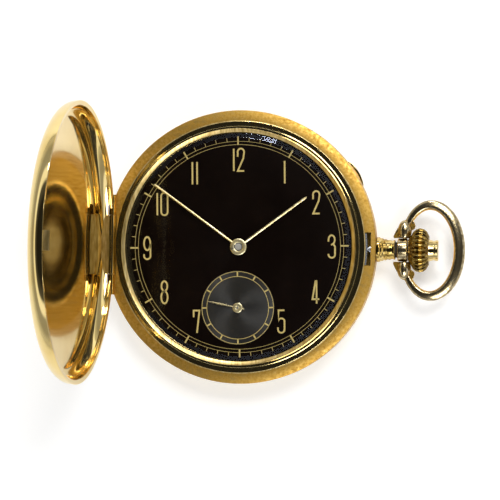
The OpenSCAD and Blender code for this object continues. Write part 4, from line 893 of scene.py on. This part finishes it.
print("a zero is drawn through", len(digit_lines("0", 1.2, 4)[0][0]), "points")

# %% [markdown]
# ## Numerals
#
# The print is a little off true on the real dial: it is turned by a degree and a half, and each
# numeral has its own small error. Typed centres keep those errors, where an even circle of
# numerals would look too perfect. The two strokes of the 11 stand further apart than the signs of
# the 10 and the 12.

# %% Numerals
STROKE = 0.3
DIGIT_W, DIGIT_H = 1.2, 4.08
SIGN_GAP, ELEVEN_GAP = 0.72, 0.87
DIAL_TURN = 1.6
# Centre of each numeral from the dial's centre, as printed
NUMERAL_AT = {
    12: (0.15, 15.88), 1: (8.55, 13.5), 2: (14.3, 7.95), 3: (17.05, -0.1), 4: (14.05, -8.4), 5: (7.7, -13.65),
    7: (-7.85, -13.6), 8: (-13.85, -8.2), 9: (-17.0, -0.05), 10: (-14.1, 7.98), 11: (-8.05, 13.55),
}


def on_dial(x, y):
    """Where a printed spot lands on the turned dial."""
    a = math.radians(DIAL_TURN)
    return x * math.cos(a) - y * math.sin(a), x * math.sin(a) + y * math.cos(a)


numerals = []
for hour, (x, y) in NUMERAL_AT.items():
    signs = str(hour)
    widths = [0.0 if s == "1" else DIGIT_W for s in signs]
    gap = ELEVEN_GAP if hour == 11 else SIGN_GAP
    x -= (sum(widths) + gap * (len(signs) - 1)) / 2
    y -= DIGIT_H / 2
    for s, w in zip(signs, widths):
        for line, closed in digit_lines(s, w, DIGIT_H):
            moved = [on_dial(px + x, py + y) for px, py in line]
            if len(moved) > 2:
                moved = [p for i, p in enumerate(moved) if i == 0 or math.dist(p, moved[i - 1]) > 1e-4]
            numerals.append(ribbon(moved, STROKE, dial_top, closed=closed))
        x += w + gap
join_strips("numerals", numerals, gilt_print, "watch")
print("numerals are drawn with", len(numerals), "strokes")

# %% [markdown]
# ## The minute track
#
# The minute track is two fine rings, with a tick for each minute outside them and a bold one
# across them at every fifth. The ticks could be copies of one object, but sixty objects would slow the scene, so
# rings and ticks are ribbons in one mesh.

# %% Minute track
TRACK_RADII = (18.65, 19.25)
BOLD_MARK = (18.6, 20.15)
PLAIN_MARK = (19.25, 19.95)


def tick(center, angle_deg, r0, r1, width, z):
    """A radial mark; angles run clockwise from 12 o'clock."""
    a = math.radians(90 - angle_deg)
    ends = [(center[0] + r * math.cos(a), center[1] + r * math.sin(a)) for r in (r0, r1)]
    return ribbon(ends, width, z)


track = [ribbon(curve(0, 0, r, r, 0, 360, 180)[:-1], 0.06, dial_top, closed=True) for r in TRACK_RADII]
for minute in range(60):
    bold = minute % 5 == 0
    r0, r1 = BOLD_MARK if bold else PLAIN_MARK
    track.append(tick((0, 0), 6 * minute - DIAL_TURN, r0, r1, 0.28 if bold else 0.09, dial_top))
join_strips("minute_track", track, gilt_print, "watch")
print("minute track has", len(track), "rings and ticks")

# %% [markdown]
# ## The sunk seconds dial
#
# The small seconds dial lies a little below the main one and is snailed: a fine spiral groove
# gives it a dark grey sheen with a bright bow tie of light. A bump of fine rings round its centre
# makes the same sheen, and moves with the light as the real one does.

# %% Snailed finish
def turned_vector(material, lines, center):
    """Coordinates that run out from an upright axis, for the rings a lathe leaves."""
    coords = add(material, "ShaderNodeTexCoord")
    shift = add(material, "ShaderNodeVectorMath")
    shift.operation = "SUBTRACT"
    shift.inputs[1].default_value = (center[0] * MM, center[1] * MM, 0)
    link(material, coords.outputs["Object"], shift.inputs[0])
    parts = add(material, "ShaderNodeSeparateXYZ")
    link(material, shift.outputs[0], parts.inputs[0])
    flat = add(material, "ShaderNodeCombineXYZ")
    link(material, parts.outputs["X"], flat.inputs["X"])
    link(material, parts.outputs["Y"], flat.inputs["Y"])
    reach = add(material, "ShaderNodeVectorMath")
    reach.operation = "LENGTH"
    link(material, flat.outputs[0], reach.inputs[0])
    out = add(material, "ShaderNodeCombineXYZ")
    link(material, reach.outputs["Value"], out.inputs["X"])
    link(material, parts.outputs["Z"], out.inputs["Z"])
    stretch = add(material, "ShaderNodeMapping", Scale=(lines / MM, 1, lines / MM))
    link(material, out.outputs[0], stretch.inputs["Vector"])
    return stretch.outputs["Vector"]


snailed, snail_shader = make_material("snailed_black", metallic=0.55, roughness=0.42)
snail_shader.inputs["Base Color"].default_value = rgb(50, 49, 47)
snail_shader.inputs["Anisotropic"].default_value = 0.85
around = add(snailed, "ShaderNodeTangent")
around.direction_type = "RADIAL"
around.axis = "Z"
link(snailed, around.outputs["Tangent"], snail_shader.inputs["Tangent"])
rings = add(snailed, "ShaderNodeTexNoise", Scale=1.0, Detail=2.0)
link(snailed, turned_vector(snailed, 9.0, seconds_at), rings.inputs["Vector"])
bump(snailed, snail_shader, rings.outputs["Fac"], 0.25, 0.01)
print("snailed finish uses", len(snailed.node_tree.nodes), "nodes")

# %% [markdown]
# ## The plate of the seconds dial
#
# On many dials the sunk part is a disc of its own, soldered in from behind. It is one here too, so
# that it can have a finish of its own. It fills the well but for a hair, and carries a small track
# with a mark every five seconds. It has no numbers.

# %% Seconds dial
SUB_T = 0.03
SUB_TRACK_RADII = (5.7, 6.6)
plate_r = sub_r - 0.02
plate_outline = [(SECONDS_HOLE_R, 0), (plate_r, 0), (plate_r, SUB_T), (SECONDS_HOLE_R, SUB_T)]
seconds_plate = lathe("seconds_dial", rounded(plate_outline, 0.01), sides=128)
seconds_plate.location = (seconds_at[0] * MM, seconds_at[1] * MM, sub_floor * MM)
coat(seconds_plate, snailed)
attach(seconds_plate, "watch")

sub_print_z = sub_floor + SUB_T
sub_track = [ribbon(curve(*seconds_at, r, r, 0, 360, 96)[:-1], 0.1, sub_print_z, closed=True)
             for r in SUB_TRACK_RADII]
for mark in range(12):
    sub_track.append(tick(seconds_at, 30 * mark - DIAL_TURN, *SUB_TRACK_RADII, 0.26, sub_print_z))
join_strips("seconds_track", sub_track, gilt_print, "watch")
print("seconds dial has", len(sub_track), "rings and ticks")

# %% [markdown]
# ## The hands
#
# The hands are stamped from thin brass and plated: slim batons with a low roof that runs along
# their middle, so that one flank is bright while the other is dark. A flat plate would lose that
# line. Each is lofted along its length from a roof-shaped section, and its hub is a turned ring.

# %% Shape of a hand
pale_gold = wear("pale_gold", (182, 168, 126), (156, 138, 90), (194, 186, 158), roughness=0.24, grain=6,
                 blotch=0.9, bump_mm=0.003, strength=0.12)
# The hub's gold is a paler copy of the hands' gold: a painted highlight.
hub_gold = wear("hub_gold", (238, 224, 176), (214, 194, 132), (250, 244, 212), roughness=0.3, grain=6,
                blotch=0.9, bump_mm=0.003, strength=0.12)
HAND_EAVES = 0.45


def roof_strip(stations, z, thick):
    """A long bar with a ridge: stations are (place along the hand, half width)."""
    verts, faces = [], []
    eaves = z + thick * HAND_EAVES
    for x, half in stations:
        verts += [(x, -half, z), (x, -half, eaves), (x, 0, z + thick), (x, half, eaves), (x, half, z)]
    for i in range(len(stations) - 1):
        for k in range(5):
            n = (k + 1) % 5
            faces.append((5 * i + k, 5 * i + n, 5 * i + 5 + n, 5 * i + 5 + k))
    last = 5 * (len(stations) - 1)
    return verts, faces + [(4, 3, 2, 1, 0), tuple(last + k for k in range(5))]


def make_hand(node, body, at, heading_deg, stations, bore_r, hub_r):
    """Loft a hand that points along an angle from +X, and turn its hub."""
    low, high = span(node)
    thick = high[2] - low[2]
    blade = new_object(node, *roof_strip(stations, low[2], thick))
    middle, half = (bore_r + hub_r) / 2, (hub_r - bore_r) / 2
    ring = curve(middle, 0.4 * thick, half, 0.6 * thick, 0, 180, 16)
    hub = lathe(node + "_hub", [(bore_r, 0), (hub_r, 0)] + ring, sides=96)
    hub.data.transform(Matrix.Translation((0, 0, low[2] * MM)))
    heading = Matrix.Rotation(math.radians(heading_deg), 4, "Z")
    turn = Matrix.Translation((at[0] * MM, at[1] * MM, 0)) @ heading
    for piece in (finish_mesh(blade, 12), hub):
        piece.data.transform(turn)
        coat(piece, hub_gold if piece is hub else pale_gold)
        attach(piece, body)
        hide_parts(node)


print("hand finishes:", pale_gold.name, "and", hub_gold.name)

# %% [markdown]
# ## Setting the hands
#
# The time is the one in the photograph. Each hand is drawn along +X and then turned to its angle,
# which is easier than drawing it at a slant. The seconds hand is a leaf with a short tail that
# balances it, and the other two are batons with blunt points.

# %% Three hands
HAND_HALF = 0.19
HOUR_A, MINUTE_A, SECONDS_A = 37, 144.8, 169.2
HOUR_SHAPE = [(1.2, HAND_HALF), (15.0, HAND_HALF), (15.5, 0.05)]
MINUTE_SHAPE = [(1.2, HAND_HALF), (18.9, HAND_HALF), (19.4, 0.05)]
SECONDS_SHAPE = [(-1.3, 0.1), (-0.4, 0.16), (0.4, 0.16), (1.6, 0.11), (3.4, 0.2), (5.0, 0.11), (5.9, 0.03)]
make_hand("hour_hand", "hour_wheel", (0, 0), HOUR_A, HOUR_SHAPE, 1.06, 1.5)
make_hand("minute_hand", "centre_wheel", (0, 0), MINUTE_A, MINUTE_SHAPE, 0.74, 1.5)
make_hand("seconds_hand", "fourth_wheel", seconds_at, SECONDS_A, SECONDS_SHAPE, 0.25, 0.9)
print("hands:", HAND_HALF * 2, "mm wide")

# %% [markdown]
# ## The neck
#
# The neck joins the case to the bow and lets the winding stem through. It is turned along X with
# fine ribs, then a groove painted near-black as shade, then a plain head that carries the bow's
# pivots. One profile holds all of that, and the faces of each stretch take their own finish.

# %% Neck
neck_end = span("pendant")[1][0] - 0.3
head_x = case_r + 3.8
neck = rounded([
    (0.9, case_r - 1), (1.1, case_r - 1), (1.1, case_r + 0.02), (2.3, case_r + 0.02), (2.3, case_r + 0.5),
    (2.1, case_r + 0.75), (2.15, case_r + 1), (1.9, case_r + 1.35), (2.0, case_r + 1.6), (1.78, case_r + 2),
    (1.85, case_r + 2.35), (1.7, case_r + 2.8), (1.85, case_r + 3.3), (1.4, case_r + 3.4), (1.4, head_x),
    (1.95, head_x), (2.08, head_x + 0.15), (2.08, neck_end - 0.15), (1.95, neck_end), (0.9, neck_end),
], 0.12)
pendant = lathe("pendant", neck, axis="X", center=(0, 0, stem_z))
coat(pendant, neck_gold, bow_gold, grime)
# The head takes the bow's gold; faces in the groove take the near-black finish: painted shade.
for face in pendant.data.polygons:
    reach = math.hypot(face.center.y, face.center.z - stem_z * MM) / MM
    if face.center.x / MM > head_x - 0.02:
        face.material_index = 1
    elif 1.2 < reach < 1.7 and face.center.x / MM > head_x - 0.5:
        face.material_index = 2
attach(pendant, "watch")
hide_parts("pendant")
print("neck reaches", round(neck_end, 2), "mm")

# %% [markdown]
# ## The crown
#
# The crown is a fluted onion that fingers can grip. It could be a plain ball cut by many rods, but
# here it is a turned profile whose radius rises and falls round the axis, which lathe() takes as
# a function. The flutes get shallow towards the collar and are not cut inside its recess.

# %% Crown
crown_high = span("crown")[1]
crown_x0, crown_x1 = neck_end + 0.1, crown_high[0]
crown_r = crown_high[2] - stem_z
crown_l = crown_x1 - crown_x0
collar_r = crown_r * 0.48
FLUTES = 26
SHALLOW, DEEPER = 0.14, 0.48
RECESS_R, RECESS_DEEP = 2.05, 1.6


def crown_radius(a, r, h):
    """The radius between two flutes is full, and smaller in their middle."""
    inside = r < RECESS_R + 0.05 and h > crown_x1 - RECESS_DEEP - 0.1
    if inside or r < collar_r * 0.9:
        return r
    depth = SHALLOW + DEEPER * (r - collar_r) / (crown_r - collar_r)
    return r - depth * (0.5 + 0.5 * math.cos(FLUTES * a)) ** 1.3


crown_profile = rounded([
    (0.51, crown_x0), (collar_r, crown_x0), (crown_r * 0.6, crown_x0 + crown_l * 0.07),
    (crown_r * 0.67, crown_x0 + crown_l * 0.14), (crown_r * 0.84, crown_x0 + crown_l * 0.24),
    (crown_r * 0.95, crown_x0 + crown_l * 0.38), (crown_r, crown_x0 + crown_l * 0.56),
    (crown_r * 0.97, crown_x0 + crown_l * 0.72), (crown_r * 0.86, crown_x0 + crown_l * 0.87),
    (crown_r * 0.64, crown_x1), (RECESS_R, crown_x1), (RECESS_R, crown_x1 - RECESS_DEEP),
    (0.51, crown_x1 - RECESS_DEEP),
], 0.3, steps=4)
crown = lathe("crown", crown_profile, sides=FLUTES * 12, axis="X", center=(0, 0, stem_z),
              radial=crown_radius, sharp_deg=50)
coat(crown, crown_gold)
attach(crown, "stem_and_crown")
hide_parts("crown")
print("crown has", FLUTES, "flutes and is", round(crown_l, 2), "mm long")

# %% [markdown]
# ## The button
#
# A push on the button in the crown's end opens the front lid. It slides in the crown's recess, so
# it is a piece of its own, turned with a slim waist, and its thin rod runs in to the spring.

# %% Button in the crown
button_low, button_high = span("crown_button")
button_end = button_high[0]
button_r = 2.0
button_l = button_end - crown_x1
button = lathe("crown_button", rounded([
    (0, button_low[0]), (0.24, button_low[0]), (0.24, crown_x1 - 0.6), (button_r - 0.1, crown_x1 - 0.6),
    (button_r, crown_x1), (button_r - 0.05, crown_x1 + 0.25), (button_r - 0.22, crown_x1 + button_l * 0.5),
    (button_r - 0.05, crown_x1 + button_l * 0.8), (button_r - 0.15, button_end), (0, button_end),
], 0.12), sides=96, axis="X", center=(0, 0, stem_z))
coat(button, mirror_gold)
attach(button, "button")
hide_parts("crown_button")
print("button stands", round(button_l, 2), "mm out of the crown")

# %% [markdown]
# ## The bow
#
# The bow is one strip of wire bent into an oval. It is wide and flat at its far end and thin where
# it meets its two ends. Its middle line is half an ellipse and a little more, flattened beside
# the neck, and a formula gives a point of it for any share of the way round.

# %% Curve of the bow
bow_high = span("bow")[1]
BOW_STEPS = 120
BOW_SIDES = 32
bow_l = bow_high[0] - bow_pivot[0]
bow_half = bow_high[1]
far_wire = 1.1
arm_wire = 0.62
bow_depth = 5.3
bow_lean = math.radians(13)
middle_x = bow_l - far_wire - bow_depth - 0.12
RING_INSET = 1.05
END_HALF = 4.7
FLATTEN = 0.25
WIRE_WIDE, WIRE_DEEP = 0.94, 0.8
ring_half = bow_half - RING_INSET
start_angle = math.pi - math.asin(END_HALF / ring_half)


def bow_point(t):
    """The middle of the wire, for t from 0 to 1."""
    a = start_angle * (2 * t - 1)
    pushed = FLATTEN * math.cos(a) if abs(a) > math.pi / 2 else 0
    return Vector((middle_x + bow_depth * math.cos(a) - pushed, ring_half * math.sin(a), 0))


def squircle(a, power=0.62):
    """A rounded square: the wire is a flat strap with soft corners."""
    c, d = math.cos(a), math.sin(a)
    return math.copysign(abs(c) ** power, c), math.copysign(abs(d) ** power, d)


print("bow", round(bow_l, 1), "mm long and", round(2 * bow_half, 1), "mm wide")

# %% [markdown]
# ## Sweeping the wire
#
# A rounded square is set across the curve at each step, leaned over a little, and scaled by how
# far along it stands. A curve object with a bevel would keep its section upright, so the mesh is
# written out. Faces along the inner edge take a warmer, brighter gold: a painted reflection.

# %% Sweep the bow
verts, faces = [], []
for i in range(BOW_STEPS + 1):
    t = i / BOW_STEPS
    p = bow_point(t)
    along = (bow_point(min(1, t + 0.005)) - bow_point(max(0, t - 0.005))).normalized()
    out = Vector((along.y, -along.x, 0))
    half = arm_wire + (far_wire - arm_wire) * math.sin(math.pi * t) ** 0.75
    for k in range(BOW_SIDES):
        u, v = squircle(2 * math.pi * k / BOW_SIDES)
        u, v = half * WIRE_WIDE * u, half * WIRE_DEEP * v
        lean_u = u * math.cos(bow_lean) + v * math.sin(bow_lean)
        lean_v = v * math.cos(bow_lean) - u * math.sin(bow_lean)
        spot = p + out * lean_u
        verts.append((spot.x + bow_pivot[0], spot.y, lean_v + stem_z))
for i in range(BOW_STEPS):
    for k in range(BOW_SIDES):
        n = (k + 1) % BOW_SIDES
        a, b = i * BOW_SIDES, (i + 1) * BOW_SIDES
        faces.append((a + k, a + n, b + n, b + k))
faces.append(tuple(range(BOW_SIDES - 1, -1, -1)))
faces.append(tuple(BOW_STEPS * BOW_SIDES + k for k in range(BOW_SIDES)))
bow = finish_mesh(new_object("bow", verts, faces), 40)
coat(bow, bow_gold, edge_gold)
# Faces along the inner edge take the warmer gold: painted reflection.
for i, face in enumerate(bow.data.polygons):
    if abs(i % BOW_SIDES - BOW_SIDES / 2 + 0.5) < 3:
        face.material_index = 1
print("bow has", len(bow.data.polygons), "faces")

# %% [markdown]
# ## The bow's ends
#
# Each end is an egg that turns on the neck's pivot, with a thin ear behind it that runs out to the
# wire. The egg is turned like the case. The ear is a flat outline given a thickness, and a Bevel
# modifier softens its edges, which is quicker than a rounded mesh for such a small plate.

# %% Ends of the bow
EAR_HALF = 0.4
bow_pieces = [bow]
ear = [
    (0, 2.15), (-1.95, 2.15), (-2.0, 2.5), (-1.7, 3.2), (-1.25, 4.0), (-0.65, 4.8), (0, 5.4), (0.6, 5.8),
    (1.3, 5.6), (1.75, 5.0), (1.95, 4.4), (1.8, 3.9), (1.35, 3.6), (0.6, 3.4), (0.6, 2.15),
]
egg = [(0, 2.15), (1.0, 2.15), (1.13, 2.35), (1.22, 2.85)] + curve(0, 3.45, 1.3, 2.0, 0, 90, 12)
for side in (-1, 1):
    letter = "a" if side > 0 else "b"
    end = lathe(f"bow_end_{letter}", rounded(egg, 0.1), sides=64)
    sideways = Matrix.Rotation(-side * math.pi / 2, 4, "X")
    end.data.transform(Matrix.Translation(Vector(bow_pivot) * MM) @ sideways)
    flat = rounded(ear, 0.25)
    verts = [(x + bow_pivot[0], side * y, stem_z + z) for z in (-EAR_HALF, EAR_HALF) for x, y in flat]
    count = len(flat)
    faces = [tuple(range(count)), tuple(range(2 * count - 1, count - 1, -1))]
    faces += [(k, (k + 1) % count, count + (k + 1) % count, count + k) for k in range(count)]
    plate = new_object(f"bow_ear_{letter}", verts, faces)
    soften = plate.modifiers.new("soften", "BEVEL")
    soften.width = 0.36 * MM
    soften.segments = 4
    bow_pieces += [end, finish_mesh(plate, 40)]
# The ears take the warmer gold too: painted light on their flat faces.
for piece in bow_pieces:
    if piece is not bow:
        coat(piece, edge_gold if "ear" in piece.name else bow_gold)
    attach(piece, "bow")
    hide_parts("bow")
print("bow is made of", len(bow_pieces), "pieces")

# %% [markdown]
# ## The back lid
#
# The back lies on the table and is plain: flat in its middle, then part of a large ball, with the
# same rounded shoulder as the front and a middle knuckle. A dome from edge to edge would rock on
# the table. Its curve is drawn twice, outside and inside, and turned as one closed profile.

# %% Back lid
flat_r = 9.0
BACK_BALL = 96.0
BACK_STEPS = 20


def back_rise(r):
    """How far the back has risen from the table at a radius."""
    return 0 if r <= flat_r else BACK_BALL - math.sqrt(BACK_BALL ** 2 - (r - flat_r) ** 2)


back_edge_z = band_z0 - 0.43
turn_r = lid_shoulder_r + 0.4


def back_curve(lift, r_out):
    """The back's outline from its middle to its edge, lifted by the wall or not."""
    points = [(0, lift), (flat_r, lift)]
    for i in range(1, BACK_STEPS):
        r = flat_r + (turn_r - flat_r) * i / BACK_STEPS
        points.append((r, lift + back_rise(r)))
    return points + arc(turn_r, lift + back_rise(turn_r), r_out, back_edge_z, SHOULDER_STEPS)


back_outline = back_curve(0, lid_r) + [(lid_r, band_z0 - 0.15), (lid_in_r, band_z0 - 0.475)]
back_outline += back_curve(lid_t, lid_in_r)[::-1]
back_lid = lathe("back_lid", rounded(back_outline, 0.06), sides=FINE_SIDES)
back_lid = combine(back_lid, [
    block("back_notch", (-case_r - 1, -notch_y, back_hinge[2] - 0.8), (tube_x + 0.75, notch_y, case_r)),
    block("back_relief", (-case_r, -LOWER_TUBE_Y, back_hinge[2] - 0.8),
          (tube_x + 1.35, LOWER_TUBE_Y, case_r)),
])
back_knuckle = hinge_rod("back_knuckle", -BACK_LUG_Y, BACK_LUG_Y, back_hinge[2], knuckle_r, chamfer=0.06)
back_lug = block("back_lug", (tube_x - knuckle_r, -BACK_LUG_Y, 0),
                 (tube_x + knuckle_r, BACK_LUG_Y, back_hinge[2]))
back_fill = lathe("back_fill", back_curve(0, lid_r) + [(lid_r, 4), (0, 4)], sides=FINE_SIDES)
back_lug = combine(back_lug, [back_fill], "INTERSECT")
print("back lid has", len(back_lid.data.polygons), "faces")

# %% [markdown]
# ## The thumb lip
#
# The back has no spring. A small lip at its edge lets a thumb nail lift it. It is a sector of a
# turned ring whose radius swells in the middle of the sector and dies away at both ends, so it
# grows out of the edge without a step. It sits a little round from the crown.

# %% Thumb lip
LIP_HALF = math.radians(7)
LIP_TURN = math.radians(34)
CUT_HALF = 3.02


def lip_radius(a, r, h):
    """The lip stands out most in its middle and dies away to both ends."""
    a = (a + math.pi) % (2 * math.pi) - math.pi
    share = math.cos(a / LIP_HALF * math.pi / 2) ** 0.6 if abs(a) < LIP_HALF else 0
    return min(r, lid_r - 0.02 + max(0, r - lid_r) * share)


thumb_lip = lathe("thumb_lip", rounded([
    (case_r + 0.55, band_z0 - 0.65), (case_r + 0.55, band_z0 - 0.1), (case_r - 0.05, band_z0 - 0.1),
    (lid_in_r + 0.1, band_z0 - 0.5), (lid_in_r + 0.1, band_z0 - 0.65),
], 0.1), sides=768, radial=lip_radius)
thumb_cut = block("thumb_cut", (0, -CUT_HALF, 0), (case_r + 2, CUT_HALF, 10))
thumb_lip = combine(thumb_lip, [thumb_cut], "INTERSECT")
thumb_lip.data.transform(Matrix.Rotation(LIP_TURN, 4, "Z"))
for piece in (back_lid, back_knuckle, back_lug, thumb_lip):
    coat(piece, mirror_gold)
    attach(piece, "back_lid")
    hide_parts("back_lid")
print("thumb lip is", round(2 * math.degrees(LIP_HALF)), "degrees wide")

# %% [markdown]
# ## Finishes inside
#
# The movement shows when the back is open. Steel wheels are polished, bridges are frosted nickel,
# the train is gilt, and the jewels are ruby. Each CAD node takes the finish of its slot.

# %% Inner finishes
steel = wear("polished_steel", (190, 192, 196), (164, 166, 172), (214, 216, 220), roughness=0.22,
             grain=6, blotch=0.8, bump_mm=0.003, strength=0.15)
nickel = wear("frosted_nickel", (208, 206, 198), (194, 192, 184), (220, 218, 212), roughness=0.38,
              grain=9, blotch=0.6, bump_mm=0.012, strength=0.35)
gilt = wear("gilt_brass", (222, 178, 96), (200, 154, 74), (236, 200, 128), roughness=0.26, grain=7,
            blotch=0.9, bump_mm=0.006, strength=0.2)
ruby = two_tone("ruby", (0.3, (120, 4, 30)), (0.7, (190, 20, 60)), 2.0, roughness=0.08)[0]

finish_of_slot = {"steel": steel, "nickel": nickel, "gilt_brass": gilt, "pale_gold": pale_gold, "ruby": ruby,
                  "polished_gold": mirror_gold, "glass": clear_glass, "black_dial": black_lacquer}
for part in frame["record"]["subparts"]:
    coat(frame["nodes"][part["node"]],
         steel if part["node"] == "cannon_pinion" else finish_of_slot[part["material_slot"]])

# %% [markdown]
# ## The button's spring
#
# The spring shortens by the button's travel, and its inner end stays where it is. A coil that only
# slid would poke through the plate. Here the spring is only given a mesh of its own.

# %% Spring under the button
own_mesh(frame["nodes"]["button_spring"])

# %% [markdown]
# ## Wheels of two metals
#
# In the train, each gilt wheel is riveted to a pale arbor with its pinion. Both are one CAD node,
# so the faces near the axis take a second material. Distance from the axis is enough to tell them
# apart, because a wheel's rim and spokes start outside the pinion.

# %% Arbors and pinions
ARBOR_R = 0.95
TRAIN = {"centre_wheel": "centre_turn", "third_wheel": "third_turn", "fourth_wheel": "fourth_turn",
         "escape_wheel": "escape_turn"}
for name, joint in TRAIN.items():
    wheel = frame["nodes"][name]
    wheel.data.materials.append(nickel)
    x, y = joints[joint]["pos_m"][:2]
    for face in wheel.data.polygons:
        spot = wheel.matrix_world @ face.center
        if math.hypot(spot.x - x, spot.y - y) < ARBOR_R * MM:
            face.material_index = 1
print("two metals on", len(TRAIN), "wheels")

# %% [markdown]
# ## Studio
#
# Polished metal shows nothing but the room, so the room is most of the picture. The photograph
# has dark overhead, where the camera looks through, a bright ring lower down, a white table, and
# two soft boxes at the upper and lower right. A world whose brightness depends on height makes
# the first two. Camera rays see plain white, so that the picture has a white ground.

# %% World
world = bpy.data.worlds.new("studio")
bpy.context.scene.world = world
world.use_nodes = True
seen = world.node_tree.nodes["Background"]
seen.inputs["Color"].default_value = (1, 1, 1, 1)
seen.inputs["Strength"].default_value = 1
room = add(world, "ShaderNodeBackground")
heading = add(world, "ShaderNodeTexCoord")
split = add(world, "ShaderNodeSeparateXYZ")
link(world, heading.outputs["Generated"], split.inputs[0])
# Grey of the room from the horizon (0) to right overhead (1)
ROOM = [(0.0, 0.7), (0.2, 0.4), (0.4, 0.4), (0.5, 1.2), (0.6, 1.2), (0.68, 0.1), (0.86, 0.02)]
tone = ramp(world, split.outputs["Z"], [(height, grey(value)) for height, value in ROOM])
tone.node.color_ramp.interpolation = "EASE"
link(world, tone, room.inputs["Color"])
ray = add(world, "ShaderNodeLightPath")
mix_to_output(world, ray.outputs["Is Camera Ray"], room.outputs[0], seen.outputs[0], "World Output")
print("the room has", len(ROOM), "greys from horizon to zenith")

# %% [markdown]
# ## The table
#
# The watch lies on a white sheet that fades into the ground of the picture. It is diffuse and
# glows a little, so that only a soft shadow stays. It is one-sided, so that the back of the watch
# can be looked at from below.

# %% Table
TABLE_HALF, TABLE_Z = 2000, -0.02
table_corners = [(x * TABLE_HALF, y * TABLE_HALF, TABLE_Z) for x, y in ((-1, -1), (1, -1), (1, 1), (-1, 1))]
table = new_object("table", table_corners, [(0, 1, 2, 3)])
table_paint, paint = make_material("white_table", metallic=0.0, roughness=0.9)
paint.inputs["Base Color"].default_value = grey(0.85)
paint.inputs["Specular IOR Level"].default_value = 0.1
paint.inputs["Emission Color"].default_value = grey(1)
paint.inputs["Emission Strength"].default_value = 0.3
side = add(table_paint, "ShaderNodeNewGeometry")
pass_through = add(table_paint, "ShaderNodeBsdfTransparent")
mix_to_output(table_paint, side.outputs["Backfacing"], paint.outputs[0], pass_through.outputs[0])
coat(table, table_paint)
print("table at", TABLE_Z, "mm")

# %% [markdown]
# ## Lamps
#
# Two square soft boxes stand at the upper and lower right, and one wide lamp stands low behind the
# top edge. Area lamps are used because their shapes show in the gold as clean patches with soft
# shadows. Point lamps of the same power would leave hard sparks.

# %% Soft boxes
def soft_box(name, azimuth, off_zenith, size_mm, tall_mm, watts, reach_mm=600):
    """A lamp that faces the watch from a heading and an angle off the vertical, in degrees."""
    a, b = math.radians(azimuth), math.radians(off_zenith)
    spot = Vector((math.sin(b) * math.cos(a), math.sin(b) * math.sin(a), math.cos(b))) * reach_mm
    data = bpy.data.lights.new(name, "AREA")
    data.shape = "RECTANGLE"
    data.size = size_mm * MM
    data.size_y = tall_mm * MM
    data.energy = watts
    obj = bpy.data.objects.new(name, data)
    bpy.context.scene.collection.objects.link(obj)
    obj.location = spot * MM
    obj.rotation_euler = (-spot).to_track_quat("-Z", "Y").to_euler()


# Name, heading, angle off the vertical, width, height and watts
for lamp in (("upper_soft_box", 62, 33, 240, 240, 1.65), ("lower_soft_box", -66, 36, 240, 240, 1.3),
             ("top_lamp", 90, 57, 170, 60, 0.9)):
    soft_box(*lamp)
bpy.context.scene.view_settings.view_transform = "Standard"
